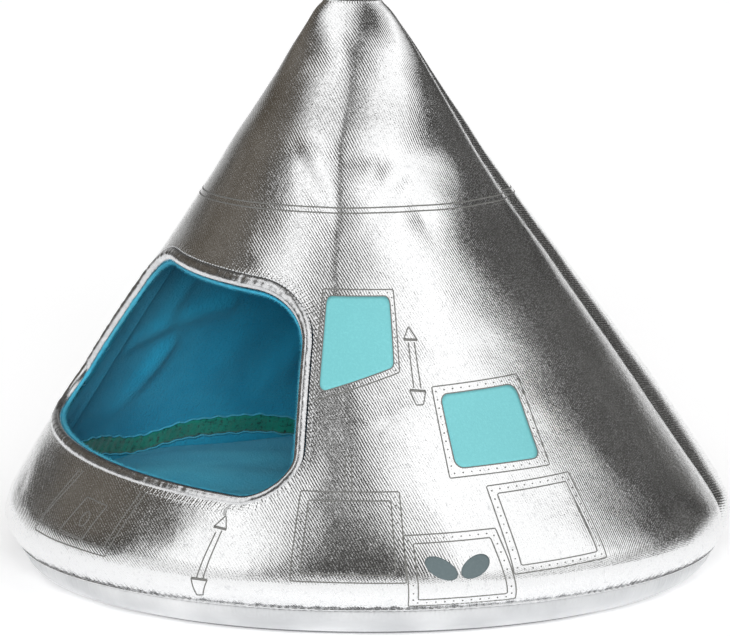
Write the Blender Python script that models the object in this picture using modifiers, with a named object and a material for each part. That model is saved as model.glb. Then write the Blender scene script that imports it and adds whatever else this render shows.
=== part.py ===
"""Soft pet bed in the form of a space capsule: a padded cone of four foam-backed panels
on a round padded base, with a plush lining, a floor cushion and a rolled hem round its
entrance. The panels meet at the two side seams and fold at the two centre creases.

Metres, +Z up, origin at the middle of the underside. The entrance faces -Y. Angles round
the axis are degrees from -Y towards +X.
"""

import math

import bmesh
import bpy
from mathutils import Matrix, Vector

COLLECTION = "capsule_pet_bed"

# Clearance between pieces that touch
GAP = 0.0003

# Base and the seam where the walls are sewn to it
BULGE_RADIUS = 0.231
SEAM_SETBACK = 0.009
SEAM_RADIUS = BULGE_RADIUS - SEAM_SETBACK
SEAM_HEIGHT = 0.020
BASE_ROUNDING = 0.023
UNDERSIDE_RADIUS = SEAM_RADIUS - BASE_ROUNDING
UNDERSIDE_THICKNESS = 0.0015
WELT_RADIUS = 0.0015

# Outer face of the cone
BULGE_HEIGHT = 0.045
BULGE_ROUNDING = 0.0065
RIDGE_HEIGHT = 0.362
RIDGE_HALF_LENGTH = 0.0225
RIDGE_HALF_DEPTH = 0.0075
RIDGE_ROLL = 0.004
FLATTENING_HEIGHT = 0.270
WAIST_HEIGHT = 0.250
WAIST_SPREAD = 0.055
WAIST_HOLLOW = 0.004
TOP_LEAN = Vector((-0.0060, -0.0075))

# Side seams and centre creases
RIGHT_SEAM_ANGLE = 132.0
LEFT_SEAM_ANGLE = -54.0
RIDGE_ANGLE = 129.0
CREASE_ANGLE = 48.0
SEAM_VALLEY_DEPTH = 0.0040
CREASE_DEPTH = 0.0025
VALLEY_HALF_ANGLE = 13.0
CREASE_END_HEIGHT = 0.190

# Wall layers, measured level
OUTER_THICKNESS = 0.0062
LINING_THICKNESS = 0.0020
TOP_PADDING = 0.010

# Entrance: a rounded trapezoid seen from the front, inside its hem
ENTRANCE_CENTRE = (0.002, 0.147)
ENTRANCE_HEIGHT = 0.107
ENTRANCE_BOTTOM_WIDTH = 0.278
ENTRANCE_SIDE_LEAN = 31.0
ENTRANCE_BOTTOM_ROUNDING = 0.026
ENTRANCE_TOP_ROUNDING = 0.055
ENTRANCE_TILT = -4.8
HEM_RADIUS = 0.005

# Inside of the bed
CUSHION_EDGE_HEIGHT = 0.028
CUSHION_CROWN = 0.006
CUSHION_SHOULDER = 0.018
TAPE_WIDTH = 0.0085
TAPE_THICKNESS = 0.0015
TAPE_RISE = 0.004

# Fineness of the facets
ROUND_STEPS = 60
WALL_LEVELS = 8
ARC_STEPS = 5
ROLL_STEPS = 3
WELT_SIDES = 6
WEDGE_STEPS = 8
HEM_STEP = 0.016
DRAPE_ROUNDS = 12

# Finishes: colour, roughness, metallic
SILVER_CLOTH = ((0.72, 0.73, 0.74, 1.0), 0.28, 0.95)
SILVER_HEM = ((0.70, 0.71, 0.72, 1.0), 0.34, 0.95)
TEAL_PLUSH = ((0.015, 0.150, 0.240, 1.0), 0.90, 0.0)
GREEN_TAPE = ((0.010, 0.170, 0.110, 1.0), 0.60, 0.0)
GREY_CLOTH = ((0.30, 0.31, 0.33, 1.0), 0.80, 0.0)

WALL_THICKNESS = OUTER_THICKNESS + GAP + LINING_THICKNESS
CUSHION_TOP = SEAM_HEIGHT + CUSHION_EDGE_HEIGHT
TAPE_LOW = CUSHION_TOP + TAPE_RISE
TAPE_HIGH = TAPE_LOW + TAPE_WIDTH


def clear_scene():
    """Remove what the start-up file holds."""
    for item in list(bpy.data.objects):
        bpy.data.objects.remove(item, do_unlink=True)


def make_material(name, finish):
    """A plain surface of one finish."""
    colour, roughness, metallic = finish
    material = bpy.data.materials.new(name)
    material.use_nodes = True
    shader = material.node_tree.nodes["Principled BSDF"]
    shader.inputs["Base Color"].default_value = colour
    shader.inputs["Roughness"].default_value = roughness
    shader.inputs["Metallic"].default_value = metallic
    return material


def add_object(name, data, material, collection):
    """Link one object that carries one material."""
    item = bpy.data.objects.new(name, data)
    if material:
        item.data.materials.append(material)
    collection.objects.link(item)
    return item


def add_cutter(name, mesh, collection):
    """A shape that only cuts others."""
    item = add_object(name, mesh, None, collection)
    item.hide_render = True
    item.display_type = "WIRE"
    return item


def finish_mesh(name, bm):
    """Turn a bmesh into a smooth-shaded mesh with its faces pointing out."""
    bmesh.ops.recalc_face_normals(bm, faces=bm.faces)
    mesh = bpy.data.meshes.new(name)
    bm.to_mesh(mesh)
    bm.free()
    mesh.shade_smooth()
    mesh.set_sharp_from_angle(angle=math.radians(40.0))
    return mesh


def loft(name, rings, ends_meet=False):
    """A solid through rings of equal count: capped at both ends, or closed on itself.

    Every strip is split along the same diagonal, so that nested layers share their facets.
    """
    bm = bmesh.new()
    loops = [[bm.verts.new(point) for point in ring] for ring in rings]
    pairs = list(zip(loops, loops[1:]))
    if ends_meet:
        pairs.append((loops[-1], loops[0]))
    count = len(rings[0])
    for pair in pairs:
        low, high = sorted(pair, key=lambda ring: ring[0].co.z)
        for step in range(count):
            after = (step + 1) % count
            bm.faces.new((low[step], low[after], high[after]))
            bm.faces.new((low[step], high[after], high[step]))
    if not ends_meet:
        bm.faces.new(loops[0])
        bm.faces.new(loops[-1])
    return finish_mesh(name, bm)


def prism(name, outline, travel):
    """A flat outline of 3D points pushed along a vector."""
    bm = bmesh.new()
    face = bm.faces.new([bm.verts.new(point) for point in outline])
    pushed = bmesh.ops.extrude_face_region(bm, geom=[face])
    verts = [part for part in pushed["geom"] if isinstance(part, bmesh.types.BMVert)]
    bmesh.ops.translate(bm, verts=verts, vec=travel)
    return finish_mesh(name, bm)


def turned(name, profile, material, collection):
    """A profile of (radius, height) points, top to bottom, spun round the Z axis."""
    mesh = bpy.data.meshes.new(name)
    edges = [(step, step + 1) for step in range(len(profile) - 1)]
    mesh.from_pydata([(radius, 0.0, height) for radius, height in profile], edges, [])
    item = add_object(name, mesh, material, collection)
    spin = item.modifiers.new("spin", "SCREW")
    spin.steps = ROUND_STEPS
    spin.render_steps = ROUND_STEPS
    spin.use_merge_vertices = True
    spin.merge_threshold = 0.00001
    spin.use_smooth_shade = True
    return item


def heading(angle):
    """Level unit vector at an angle from -Y towards +X."""
    turn = math.radians(angle)
    return Vector((math.sin(turn), -math.cos(turn)))


def angle_between(first, second):
    """Smallest angle between two headings, in degrees."""
    return abs((first - second + 180.0) % 360.0 - 180.0)


def smooth_step(value):
    """Ease from 0 to 1."""
    value = min(max(value, 0.0), 1.0)
    return value * value * (3.0 - 2.0 * value)


def half_length(height):
    """Half the cone's width along the ridge, at a height."""
    rise = RIDGE_HEIGHT - BULGE_HEIGHT
    slope = (BULGE_RADIUS + BULGE_ROUNDING - RIDGE_HALF_LENGTH) / rise
    cone = RIDGE_HALF_LENGTH + slope * (RIDGE_HEIGHT - height)
    apart = math.hypot(BULGE_RADIUS - cone, BULGE_ROUNDING)
    width = (BULGE_RADIUS + cone - apart) / 2.0
    width -= WAIST_HOLLOW * math.exp(-((height - WAIST_HEIGHT) / WAIST_SPREAD) ** 2)
    return width


def seam_tuck(height):
    """How far the foot of the wall draws in towards the base seam."""
    drop = (BULGE_HEIGHT - height) / (BULGE_HEIGHT - SEAM_HEIGHT)
    return (half_length(SEAM_HEIGHT) - SEAM_RADIUS) * max(drop, 0.0) ** 2


def half_depth_share(height):
    """Depth across the ridge as a share of the width along it: 1 while round."""
    flattened = smooth_step((height - FLATTENING_HEIGHT) / (RIDGE_HEIGHT - FLATTENING_HEIGHT))
    return 1.0 - flattened * (1.0 - RIDGE_HALF_DEPTH / RIDGE_HALF_LENGTH)


def valley(angle, height):
    """How deep the side seams and the centre creases pull the cloth in."""
    depth = 0.0
    foot = smooth_step((height - SEAM_HEIGHT) / (BULGE_HEIGHT - SEAM_HEIGHT))
    crest = smooth_step((RIDGE_HEIGHT - height) / (RIDGE_HEIGHT - FLATTENING_HEIGHT))
    for seam in (RIGHT_SEAM_ANGLE, LEFT_SEAM_ANGLE):
        near = max(1.0 - angle_between(angle, seam) / VALLEY_HALF_ANGLE, 0.0)
        depth += SEAM_VALLEY_DEPTH * near * near * foot * crest
    fade = smooth_step((height - CREASE_END_HEIGHT) / (FLATTENING_HEIGHT - CREASE_END_HEIGHT))
    for crease in (CREASE_ANGLE, CREASE_ANGLE + 180.0):
        near = max(1.0 - angle_between(angle, crease) / VALLEY_HALF_ANGLE, 0.0)
        depth += CREASE_DEPTH * near * near * fade * crest
    return depth


def lean(height):
    """How far the cone's middle has shifted at a height."""
    return TOP_LEAN * max(height - BULGE_HEIGHT, 0.0) / (RIDGE_HEIGHT - BULGE_HEIGHT)


def wall_point(angle, height, inset):
    """A point on the cone, moved in from its outer face by inset."""
    long = half_length(height) - seam_tuck(height)
    deep = long * half_depth_share(height)
    long -= inset
    deep -= inset
    turn = math.radians(angle - RIDGE_ANGLE)
    reach = long * deep / math.hypot(deep * math.cos(turn), long * math.sin(turn))
    reach -= valley(angle, height)
    spot = lean(height) + heading(angle) * reach
    return Vector((spot.x, spot.y, height))


def wall_ring(height, inset):
    """One level of the cone, as points all round."""
    step = 360.0 / ROUND_STEPS
    return [wall_point(step * index, height, inset) for index in range(ROUND_STEPS)]


def level_heights(low, high, count):
    """Evenly spaced heights, both ends kept."""
    return [low + (high - low) * index / count for index in range(count + 1)]


def wall_heights(top):
    """Levels of a wall layer, with those that the cushion and the tape share."""
    shoulder = 2.0 * BULGE_HEIGHT
    marks = {SEAM_HEIGHT, (SEAM_HEIGHT + BULGE_HEIGHT) / 2.0, BULGE_HEIGHT}
    marks |= {CUSHION_TOP, TAPE_LOW, TAPE_HIGH, (TAPE_HIGH + shoulder) / 2.0}
    return sorted(marks | set(level_heights(shoulder, top, WALL_LEVELS)))


def levels_between(low, high):
    """The wall's own levels from low to high, so that what lies on it follows its facets."""
    return [height for height in wall_heights(RIDGE_HEIGHT) if low <= height <= high]


def layer_shell(name, outer_inset, inner_inset, outer_top, inner_top):
    """A cup turned over: the outer face down to the seam, then the inner face back up."""
    outside = [wall_ring(height, outer_inset) for height in reversed(wall_heights(outer_top))]
    inside = [wall_ring(height, inner_inset) for height in wall_heights(inner_top)]
    return loft(name, outside + inside)


def panel_wedge(name, start, end, collection):
    """A cutter that keeps the part of a layer between two headings."""
    reach = 2.0 * BULGE_RADIUS
    set_in = GAP / 2.0 / math.sin(math.radians((end - start) / 2.0))
    middle = heading((start + end) / 2.0) * set_in
    plan = [middle]
    for index in range(WEDGE_STEPS + 1):
        plan.append(middle + heading(start + (end - start) * index / WEDGE_STEPS) * reach)
    outline = [Vector((point.x, point.y, -reach)) for point in plan]
    return add_cutter(name, prism(name, outline, Vector((0.0, 0.0, 3.0 * reach))), collection)


def rounded_outline(corners, radii, steps):
    """A closed outline whose corners are arcs."""
    points = []
    for index, (corner, radius) in enumerate(zip(corners, radii)):
        back = (corners[index - 1] - corner).normalized()
        ahead = (corners[(index + 1) % len(corners)] - corner).normalized()
        half = back.angle(ahead) / 2.0
        centre = corner + (back + ahead).normalized() * radius / math.sin(half)
        first = corner + back * radius / math.tan(half) - centre
        last = corner + ahead * radius / math.tan(half) - centre
        sweep = first.angle_signed(last)
        for step in range(steps + 1):
            points.append(centre + Matrix.Rotation(-sweep * step / steps, 2) @ first)
    return points


def entrance_outline(grow):
    """The entrance in the XZ plane, grown outwards by grow."""
    lean_angle = math.radians(ENTRANCE_SIDE_LEAN)
    side = grow / math.cos(lean_angle)
    slope = math.tan(lean_angle)
    bottom = ENTRANCE_BOTTOM_WIDTH / 2.0 + side + grow * slope
    top = ENTRANCE_BOTTOM_WIDTH / 2.0 - ENTRANCE_HEIGHT * slope + side - grow * slope
    half = ENTRANCE_HEIGHT / 2.0 + grow
    right = [Vector((bottom, -half)), Vector((top, half))]
    left = [Vector((-top, half)), Vector((-bottom, -half))]
    low = ENTRANCE_BOTTOM_ROUNDING + grow
    high = ENTRANCE_TOP_ROUNDING + grow
    outline = rounded_outline(right + left, [low, high, high, low], ARC_STEPS)
    tilt = Matrix.Rotation(math.radians(ENTRANCE_TILT), 2)
    centre = Vector(ENTRANCE_CENTRE)
    return [centre + tilt @ point for point in outline]


def fill_gaps(points, longest):
    """The same closed outline with long straight runs divided."""
    dense = []
    for index, point in enumerate(points):
        after = points[(index + 1) % len(points)]
        pieces = max(1, math.ceil((after - point).length / longest))
        dense += [point.lerp(after, step / pieces) for step in range(pieces)]
    return dense


def drape(spot, inset):
    """Carry a point of the XZ plane back along Y to the front of the cone."""
    across, height = spot
    middle = lean(height)
    angle = 0.0
    for _ in range(DRAPE_ROUNDS):
        at = wall_point(angle, height, inset)
        reach = math.hypot(at.x - middle.x, at.y - middle.y)
        angle = math.degrees(math.asin(min(max((across - middle.x) / reach, -1.0), 1.0)))
    return wall_point(angle, height, inset)


def cut(item, operation, cutter):
    """Add one Boolean modifier."""
    modifier = item.modifiers.new(operation.lower(), "BOOLEAN")
    modifier.operation = operation
    modifier.solver = "EXACT"
    modifier.object = cutter


def make_entrance_cutter(collection):
    """The hole that the hem fills, cut straight back through the front wall."""
    outline = entrance_outline(2.0 * HEM_RADIUS + GAP)
    front = 2.0 * BULGE_RADIUS
    points = [Vector((spot.x, -front, spot.y)) for spot in outline]
    hole = prism("entrance_cutter", points, Vector((0.0, front, 0.0)))
    return add_cutter("entrance_cutter", hole, collection)


def make_layer(layer, mesh, finish, spans, entrance, parts, cutters):
    """One wall layer, divided into panels at its seams or folds."""
    for side, (start, end) in spans.items():
        name = f"{layer}_{side}_panel"
        item = add_object(name, mesh.copy(), make_material(name, finish), parts)
        cut(item, "INTERSECT", panel_wedge(f"{name}_wedge", start, end, cutters))
        if start < 0.0 < end:
            cut(item, "DIFFERENCE", entrance)


def make_walls(parts, cutters):
    """The silver padded cone and the plush lining inside it."""
    entrance = make_entrance_cutter(cutters)
    back_crease = CREASE_ANGLE + 180.0
    left_seam_again = LEFT_SEAM_ANGLE + 360.0
    outer_spans = {
        "front_left": (LEFT_SEAM_ANGLE, CREASE_ANGLE),
        "front_right": (CREASE_ANGLE, RIGHT_SEAM_ANGLE),
        "back_right": (RIGHT_SEAM_ANGLE, back_crease),
        "back_left": (back_crease, left_seam_again),
    }
    lining_spans = {
        "front": (LEFT_SEAM_ANGLE, RIGHT_SEAM_ANGLE),
        "back": (RIGHT_SEAM_ANGLE, left_seam_again),
    }
    outer_hollow = RIDGE_HEIGHT - TOP_PADDING
    lining_top = outer_hollow - GAP
    lining_hollow = lining_top - TOP_PADDING
    outer = layer_shell("outer", 0.0, OUTER_THICKNESS, RIDGE_HEIGHT, outer_hollow)
    add_ridge_roll(outer)
    lining_inset = OUTER_THICKNESS + GAP
    lining = layer_shell("lining", lining_inset, WALL_THICKNESS, lining_top, lining_hollow)
    make_layer("outer", outer, SILVER_CLOTH, outer_spans, entrance, parts, cutters)
    make_layer("lining", lining, TEAL_PLUSH, lining_spans, entrance, parts, cutters)


def add_ridge_roll(mesh):
    """Round the flat top of the cone over into its ridge seam."""
    bm = bmesh.new()
    bm.from_mesh(mesh)
    top = max(bm.faces, key=lambda face: face.calc_center_median().z)
    turns = [math.pi / 2.0 * step / ROLL_STEPS for step in range(ROLL_STEPS)]
    for turn, after in zip(turns, turns[1:]):
        bmesh.ops.inset_region(bm, faces=[top], thickness=0.0)
        middle = top.calc_center_median()
        share = math.cos(after) / math.cos(turn)
        rise = RIDGE_ROLL * (math.sin(after) - math.sin(turn))
        for vert in top.verts:
            flat = (vert.co - middle) * share
            vert.co = middle + Vector((flat.x, flat.y, rise))
    bm.to_mesh(mesh)
    bm.free()


def make_hem(parts):
    """The rolled hem, a round roll that follows the edge of the entrance over the cone."""
    outline = fill_gaps(entrance_outline(HEM_RADIUS), HEM_STEP)
    path = [drape(spot, WALL_THICKNESS / 2.0) for spot in outline]
    curve = bpy.data.curves.new("entrance_hem", "CURVE")
    curve.dimensions = "3D"
    curve.bevel_depth = HEM_RADIUS
    curve.bevel_resolution = 2
    spline = curve.splines.new("POLY")
    spline.points.add(len(path) - 1)
    for point, place in zip(spline.points, path):
        point.co = (*place, 1.0)
    spline.use_cyclic_u = True
    add_object("entrance_hem", curve, make_material("entrance_hem", SILVER_HEM), parts)


def make_base(parts):
    """The padded base with its rounded side, its welt and its underside."""
    bottom = UNDERSIDE_THICKNESS + GAP
    top = SEAM_HEIGHT - GAP
    side = []
    for step in range(ARC_STEPS + 1):
        turn = math.pi / 2.0 * step / ARC_STEPS
        radius = UNDERSIDE_RADIUS + BASE_ROUNDING * math.cos(turn)
        side.append((radius, top - (top - bottom) * math.sin(turn)))
    profile = [(0.0, top)] + side + [(0.0, bottom)]
    turned("base_cover", profile, make_material("base_cover", SILVER_CLOTH), parts)

    edge = UNDERSIDE_RADIUS
    sheet = [(0.0, UNDERSIDE_THICKNESS), (edge, UNDERSIDE_THICKNESS), (edge, 0.0), (0.0, 0.0)]
    turned("underside_panel", sheet, make_material("underside_panel", GREY_CLOTH), parts)

    rings = []
    middle = SEAM_RADIUS + WELT_RADIUS + GAP
    for step in range(WELT_SIDES):
        turn = 2.0 * math.pi * step / WELT_SIDES
        radius = middle + WELT_RADIUS * math.cos(turn)
        height = SEAM_HEIGHT - GAP / 2.0 + WELT_RADIUS * math.sin(turn)
        rings.append(round_ring(radius, height))
    welt = make_material("base_seam_welt", SILVER_HEM)
    add_object("base_seam_welt", loft("base_seam_welt", rings, ends_meet=True), welt, parts)


def round_ring(radius, height):
    """A level circle of points round the Z axis."""
    step = 360.0 / ROUND_STEPS
    spots = [heading(step * index) * radius for index in range(ROUND_STEPS)]
    return [Vector((spot.x, spot.y, height)) for spot in spots]


def make_inside(parts):
    """The crowned floor cushion and the tape that covers the seam above it."""
    inset = WALL_THICKNESS + GAP
    rings = [wall_ring(height, inset) for height in levels_between(SEAM_HEIGHT, CUSHION_TOP)]
    for step in range(1, ROLL_STEPS + 1):
        turn = math.pi / 2.0 * step / ROLL_STEPS
        height = CUSHION_TOP + CUSHION_CROWN * math.sin(turn)
        inner = inset + CUSHION_SHOULDER * (1.0 - math.cos(turn))
        rings.append(wall_ring(height, inner))
    cushion = make_material("floor_cushion", TEAL_PLUSH)
    add_object("floor_cushion", loft("floor_cushion", rings), cushion, parts)

    heights = levels_between(TAPE_LOW, TAPE_HIGH)
    rings = [wall_ring(height, inset) for height in heights]
    rings += [wall_ring(height, inset + TAPE_THICKNESS) for height in reversed(heights)]
    tape = make_material("floor_tape", GREEN_TAPE)
    add_object("floor_tape", loft("floor_tape", rings, ends_meet=True), tape, parts)


def main():
    clear_scene()
    parts = bpy.data.collections.new(COLLECTION)
    cutters = bpy.data.collections.new("cutters")
    bpy.context.scene.collection.children.link(parts)
    bpy.context.scene.collection.children.link(cutters)
    make_walls(parts, cutters)
    make_hem(parts)
    make_base(parts)
    make_inside(parts)


main()
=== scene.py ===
import math

import bmesh
import bpy
import numpy as np
from bpy.props import FloatProperty, FloatVectorProperty, IntProperty, PointerProperty
from bpy.types import Operator, Panel, PropertyGroup
from mathutils import Matrix, Vector
from mathutils.bvhtree import BVHTree


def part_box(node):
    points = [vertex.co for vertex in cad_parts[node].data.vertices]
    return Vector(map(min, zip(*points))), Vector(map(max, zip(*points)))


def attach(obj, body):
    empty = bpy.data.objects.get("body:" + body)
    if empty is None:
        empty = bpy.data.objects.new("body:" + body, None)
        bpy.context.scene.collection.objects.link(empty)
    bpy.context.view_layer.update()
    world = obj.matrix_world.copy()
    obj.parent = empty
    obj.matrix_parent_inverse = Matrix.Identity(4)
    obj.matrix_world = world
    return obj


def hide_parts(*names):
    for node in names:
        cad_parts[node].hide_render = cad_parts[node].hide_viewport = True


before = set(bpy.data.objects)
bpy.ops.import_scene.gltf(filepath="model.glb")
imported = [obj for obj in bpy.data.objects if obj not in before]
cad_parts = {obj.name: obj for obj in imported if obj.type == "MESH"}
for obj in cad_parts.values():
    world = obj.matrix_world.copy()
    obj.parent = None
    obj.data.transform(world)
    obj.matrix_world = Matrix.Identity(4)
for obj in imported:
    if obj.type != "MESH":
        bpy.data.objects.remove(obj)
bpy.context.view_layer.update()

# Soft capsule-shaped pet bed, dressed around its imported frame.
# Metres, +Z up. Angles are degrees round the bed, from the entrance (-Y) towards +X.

bl_info = {
    "name": "Capsule Pet Bed",
    "version": (1, 0, 0),
    "blender": (4, 5, 0),
    "location": "View3D > Sidebar > Pet Bed",
    "description": "Dresses the frame of a soft capsule-shaped pet bed",
    "category": "Add Mesh",
}

BODY = "root"
BASE_LOW, BASE_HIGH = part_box("base_cover")
UNDER_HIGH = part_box("underside_panel")[1]
MM = 0.001
TINY = 1e-9
WELD = 1e-5
PHOTO_WIDTH = 730


def length(label, note, default):
    """A size in metres that a user may change."""
    return FloatProperty(name=label, description=note, default=default, unit="LENGTH", precision=4)


def plain(label, note, default):
    """A number without a unit, or an angle in degrees round the bed."""
    return FloatProperty(name=label, description=note, default=default, precision=3)


def colour(label, note, default):
    """A colour that a user may change."""
    return FloatVectorProperty(
        name=label, description=note, default=default, subtype="COLOR", size=3, min=0.0, max=1.0
    )


class BedShell(PropertyGroup):
    """Outer form of the walls, close to the frame's."""

    seam_radius: length("Seam Radius", "Radius of the seam between walls and base", BASE_HIGH.x)
    seam_height: length("Seam Height", "Height of the base seam", 0.020)
    bulge_radius: length("Bulge Radius", "Widest radius of the walls", 0.234)
    bulge_height: length("Bulge Height", "Height of the widest part", 0.038)
    bulge_rounding: length("Bulge Rounding", "How softly the foot turns into the cone", 0.0065)
    ridge_height: length("Ridge Height", "Height where the walls turn into the ridge", 0.362)
    ridge_half_length: length("Ridge Half Length", "Half the ridge seam", 0.0225)
    ridge_half_depth: length("Ridge Half Depth", "Half the ridge across", 0.0075)
    ridge_roll: length("Ridge Roll", "Rise of the rounded ridge", 0.0032)
    ridge_corner: length("Ridge Corner", "Rounding at the two ends of the ridge", 0.0105)
    flattening_height: length("Flattening Height", "Where the cone starts to flatten", 0.270)
    waist_height: length("Waist Height", "Where the cone is most hollow", 0.250)
    waist_spread: length("Waist Spread", "Height over which the hollow fades", 0.055)
    waist_hollow: length("Waist Hollow", "Depth of the hollow", 0.004)
    lean_x: length("Lean X", "Shift of the peak to the side", -0.0060)
    lean_y: length("Lean Y", "Shift of the peak to the front", -0.0075)
    ridge_angle: plain("Ridge Angle", "Heading of the ridge's right end", 129.0)
    right_seam: plain("Right Seam", "Heading of the right side seam", 132.0)
    left_seam: plain("Left Seam", "Heading of the left side seam", -54.0)


class BedFolds(PropertyGroup):
    """How far the cloth departs from the plain cone."""

    wide_depth: length("Wide Seam Valley", "Depth of the wide hollow along a side seam", 0.0040)
    wide_half_angle: plain("Valley Half Angle", "Half the width of a wide hollow", 13.0)
    seam_depth: length("Seam Ditch", "Depth of the ditch at a side seam", 0.0030)
    seam_front_width: length("Ditch Front Width", "Reach of the ditch on the front panel", 0.0060)
    seam_back_width: length("Ditch Back Width", "Reach of the ditch on the back panel", 0.0105)
    crease_rise: length("Crease Rise", "How far a centre crease stands out", 0.0025)
    crease_width: length("Crease Width", "Reach of a centre crease to each side", 0.0140)
    crease_round: length("Crease Rounding", "How softly a centre crease bends", 0.0026)
    swell: length("Swell", "Height of the long unevenness of the walls", 0.0009)
    swell_length: length("Swell Length", "Length of the long unevenness", 0.120)
    ripple: length("Ripple", "Height of the short unevenness", 0.00020)
    ripple_length: length("Ripple Length", "Length of the short unevenness", 0.034)
    gather: length("Gather", "Depth of the gathers at the foot", 0.0006)
    gather_count: IntProperty(name="Gathers", description="Gathers round the foot", default=118)


class BedEntrance(PropertyGroup):
    """Outline of the entrance and its hem."""

    centre_x: length("Centre X", "Middle of the entrance", 0.002)
    centre_z: length("Centre Height", "Middle of the entrance", 0.147)
    height: length("Height", "Height inside the hem", 0.107)
    bottom_width: length("Bottom Width", "Width at the bottom inside the hem", 0.278)
    side_lean: plain("Side Lean", "Lean of the sides in degrees", 31.0)
    bottom_rounding: length("Bottom Rounding", "Radius of the lower corners", 0.016)
    top_rounding: length("Top Rounding", "Radius of the upper corners", 0.055)
    tilt: plain("Tilt", "Turn of the outline in degrees", -4.8)
    hem_width: length("Hem Width", "Width of the rolled hem at the sides", 0.0088)
    hem_rise: length("Hem Rise", "How much wider the hem is at the top", 0.0010)
    hem_squeeze: length("Hem Squeeze", "How much narrower the hem is at the right", 0.0030)
    stitch_pitch: length("Stitch Pitch", "Distance between hem stitches", 0.0027)


class BedInside(PropertyGroup):
    """Lining and tape."""

    lining_inset: length("Lining Inset", "Outer face to the back of the lining", 0.0065)
    lining_thickness: length("Lining Thickness", "Cloth and pile", 0.0020)
    lining_top: length("Lining Top", "Height where the lining closes", 0.345)
    fold: length("Fold", "Height of the lining's soft folds", 0.0024)
    fold_length: length("Fold Length", "Length of the lining's folds", 0.105)
    tape_height: length("Tape Height", "Middle of the tape", 0.0545)
    tape_width: length("Tape Width", "Width of the tape", 0.0142)
    tape_thickness: length("Tape Thickness", "Thickness of the tape", 0.0012)
    tape_wave: length("Tape Wave", "How far the tape wanders up and down", 0.0033)


class BedPrint(PropertyGroup):
    """Printed lines, windows and rivets."""

    line_width: length("Line Width", "Width of a printed line", 0.00074)
    ring_height: length("Ring Height", "Middle of the double ring", 0.2430)
    ring_gap: length("Ring Gap", "Distance between the ring's lines", 0.0030)
    dot_radius: length("Dot Radius", "Radius of a printed rivet", 0.00055)
    dot_pitch: length("Dot Pitch", "Distance between rivets", 0.0056)
    lift: length("Lift", "Height of the print above the cloth", 0.00016)


class BedLook(PropertyGroup):
    """Colours and the scale of the weave."""

    foil: colour("Foil", "Silver foil", (0.84, 0.845, 0.85))
    # Worn Foil is real wear in the twill's rubbed spots, and painted shade in the hollows of the hem's and
    # the base's bumps.
    foil_worn: colour("Worn Foil", "Foil where it is rubbed", (0.60, 0.61, 0.62))
    hem_foil: colour("Hem Foil", "Silver foil of the hem", (0.80, 0.80, 0.81))
    plush_deep: colour("Plush", "Plush seen straight on", (0.008, 0.175, 0.300))
    plush_light: colour("Plush Tips", "Tips of the pile", (0.028, 0.290, 0.445))
    # Painted light: the floor plush is the lining's teal plush painted lighter, standing in for light on
    # the floor.
    floor_deep: colour("Floor Plush", "Floor plush seen straight on", (0.016, 0.235, 0.375))
    floor_light: colour("Floor Tips", "Tips of the floor's pile", (0.058, 0.395, 0.540))
    plush_edge: colour("Plush Edge", "Pile at the entrance's edge", (0.070, 0.260, 0.310))
    tape: colour("Tape", "Green tape", (0.001, 0.068, 0.056))
    tape_fleck: colour("Tape Fleck", "Dark threads in the tape", (0.002, 0.032, 0.030))
    ink: colour("Ink", "Printed lines", (0.105, 0.105, 0.100))
    pane: colour("Pane", "Printed window panes", (0.103, 0.307, 0.324))
    vent: colour("Vent", "Printed ovals", (0.066, 0.087, 0.092))
    thread: colour("Thread", "Sewing thread", (0.62, 0.63, 0.64))
    underside: colour("Underside", "Cloth that the bed stands on", (0.20, 0.205, 0.215))
    twill_pitch: length("Twill Pitch", "Distance between twill ribs", 0.00160)


class BedStage(PropertyGroup):
    """Camera, floor and light."""

    distance: length("Distance", "Camera to the middle of the base seam", 3.0)
    elevation: plain("Elevation", "Camera above the base seam in degrees", 11.9)
    heading: plain("Heading", "Camera's heading round the bed in degrees", 53.0)
    pitch: plain("Pitch", "Camera's tilt below level in degrees", 9.26)
    lens: plain("Lens", "Focal length in millimetres", 229.73)
    shift: plain("Shift", "Sideways shift of the picture in pixels", -3.0)
    floor_radius: length("Floor Radius", "Radius of the floor", 40.0)
    floor: colour("Floor", "Floor", (0.88, 0.88, 0.885))
    key: plain("Key", "Brightness of the light panels", 1.10)
    fill: plain("Fill", "Soft light on cloth and plush, in watts per square metre", 4.5)
    fill_heading: plain("Fill Heading", "Where the fill light comes from, in degrees", 54.0)
    fill_height: plain("Fill Height", "Height of the fill light in degrees", 15.0)
    table_glow: plain("Table Glow", "Light that the floor gives off", 0.36)


def group(name):
    """One of the bed's setting groups."""
    return getattr(bpy.context.scene, f"bed_{name}")


# Form of the walls


def ease(value):
    """Ease from 0 to 1."""
    value = np.clip(value, 0.0, 1.0)
    return value * value * (3.0 - 2.0 * value)


def heading(angle):
    """Level unit vectors at angles from -Y towards +X."""
    turn = np.radians(angle)
    return np.stack((np.sin(turn), -np.cos(turn)), axis=-1)


def turn_between(first, second):
    """Signed angle from second to first."""
    return (first - second + 180.0) % 360.0 - 180.0


# How far the ridge's ends draw in, as a share of their rounding
CORNER_SHARE = 0.6


def half_width(height):
    """Half the cone's width along the ridge."""
    shell = group("shell")
    drop = shell.ridge_height + shell.ridge_roll - height
    up = np.clip(1.0 - drop / shell.ridge_corner, 0.0, 1.0)
    rounded = CORNER_SHARE * shell.ridge_corner * (1.0 - np.sqrt(1.0 - up * up))
    height = np.minimum(height, shell.ridge_height)
    rise = shell.ridge_height - shell.bulge_height
    slope = (shell.bulge_radius + shell.bulge_rounding - shell.ridge_half_length) / rise
    cone = shell.ridge_half_length + slope * (shell.ridge_height - height)
    apart = np.hypot(shell.bulge_radius - cone, shell.bulge_rounding)
    hollow = np.exp(-(((height - shell.waist_height) / shell.waist_spread) ** 2))
    return (shell.bulge_radius + cone - apart) / 2.0 - shell.waist_hollow * hollow - rounded


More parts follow.
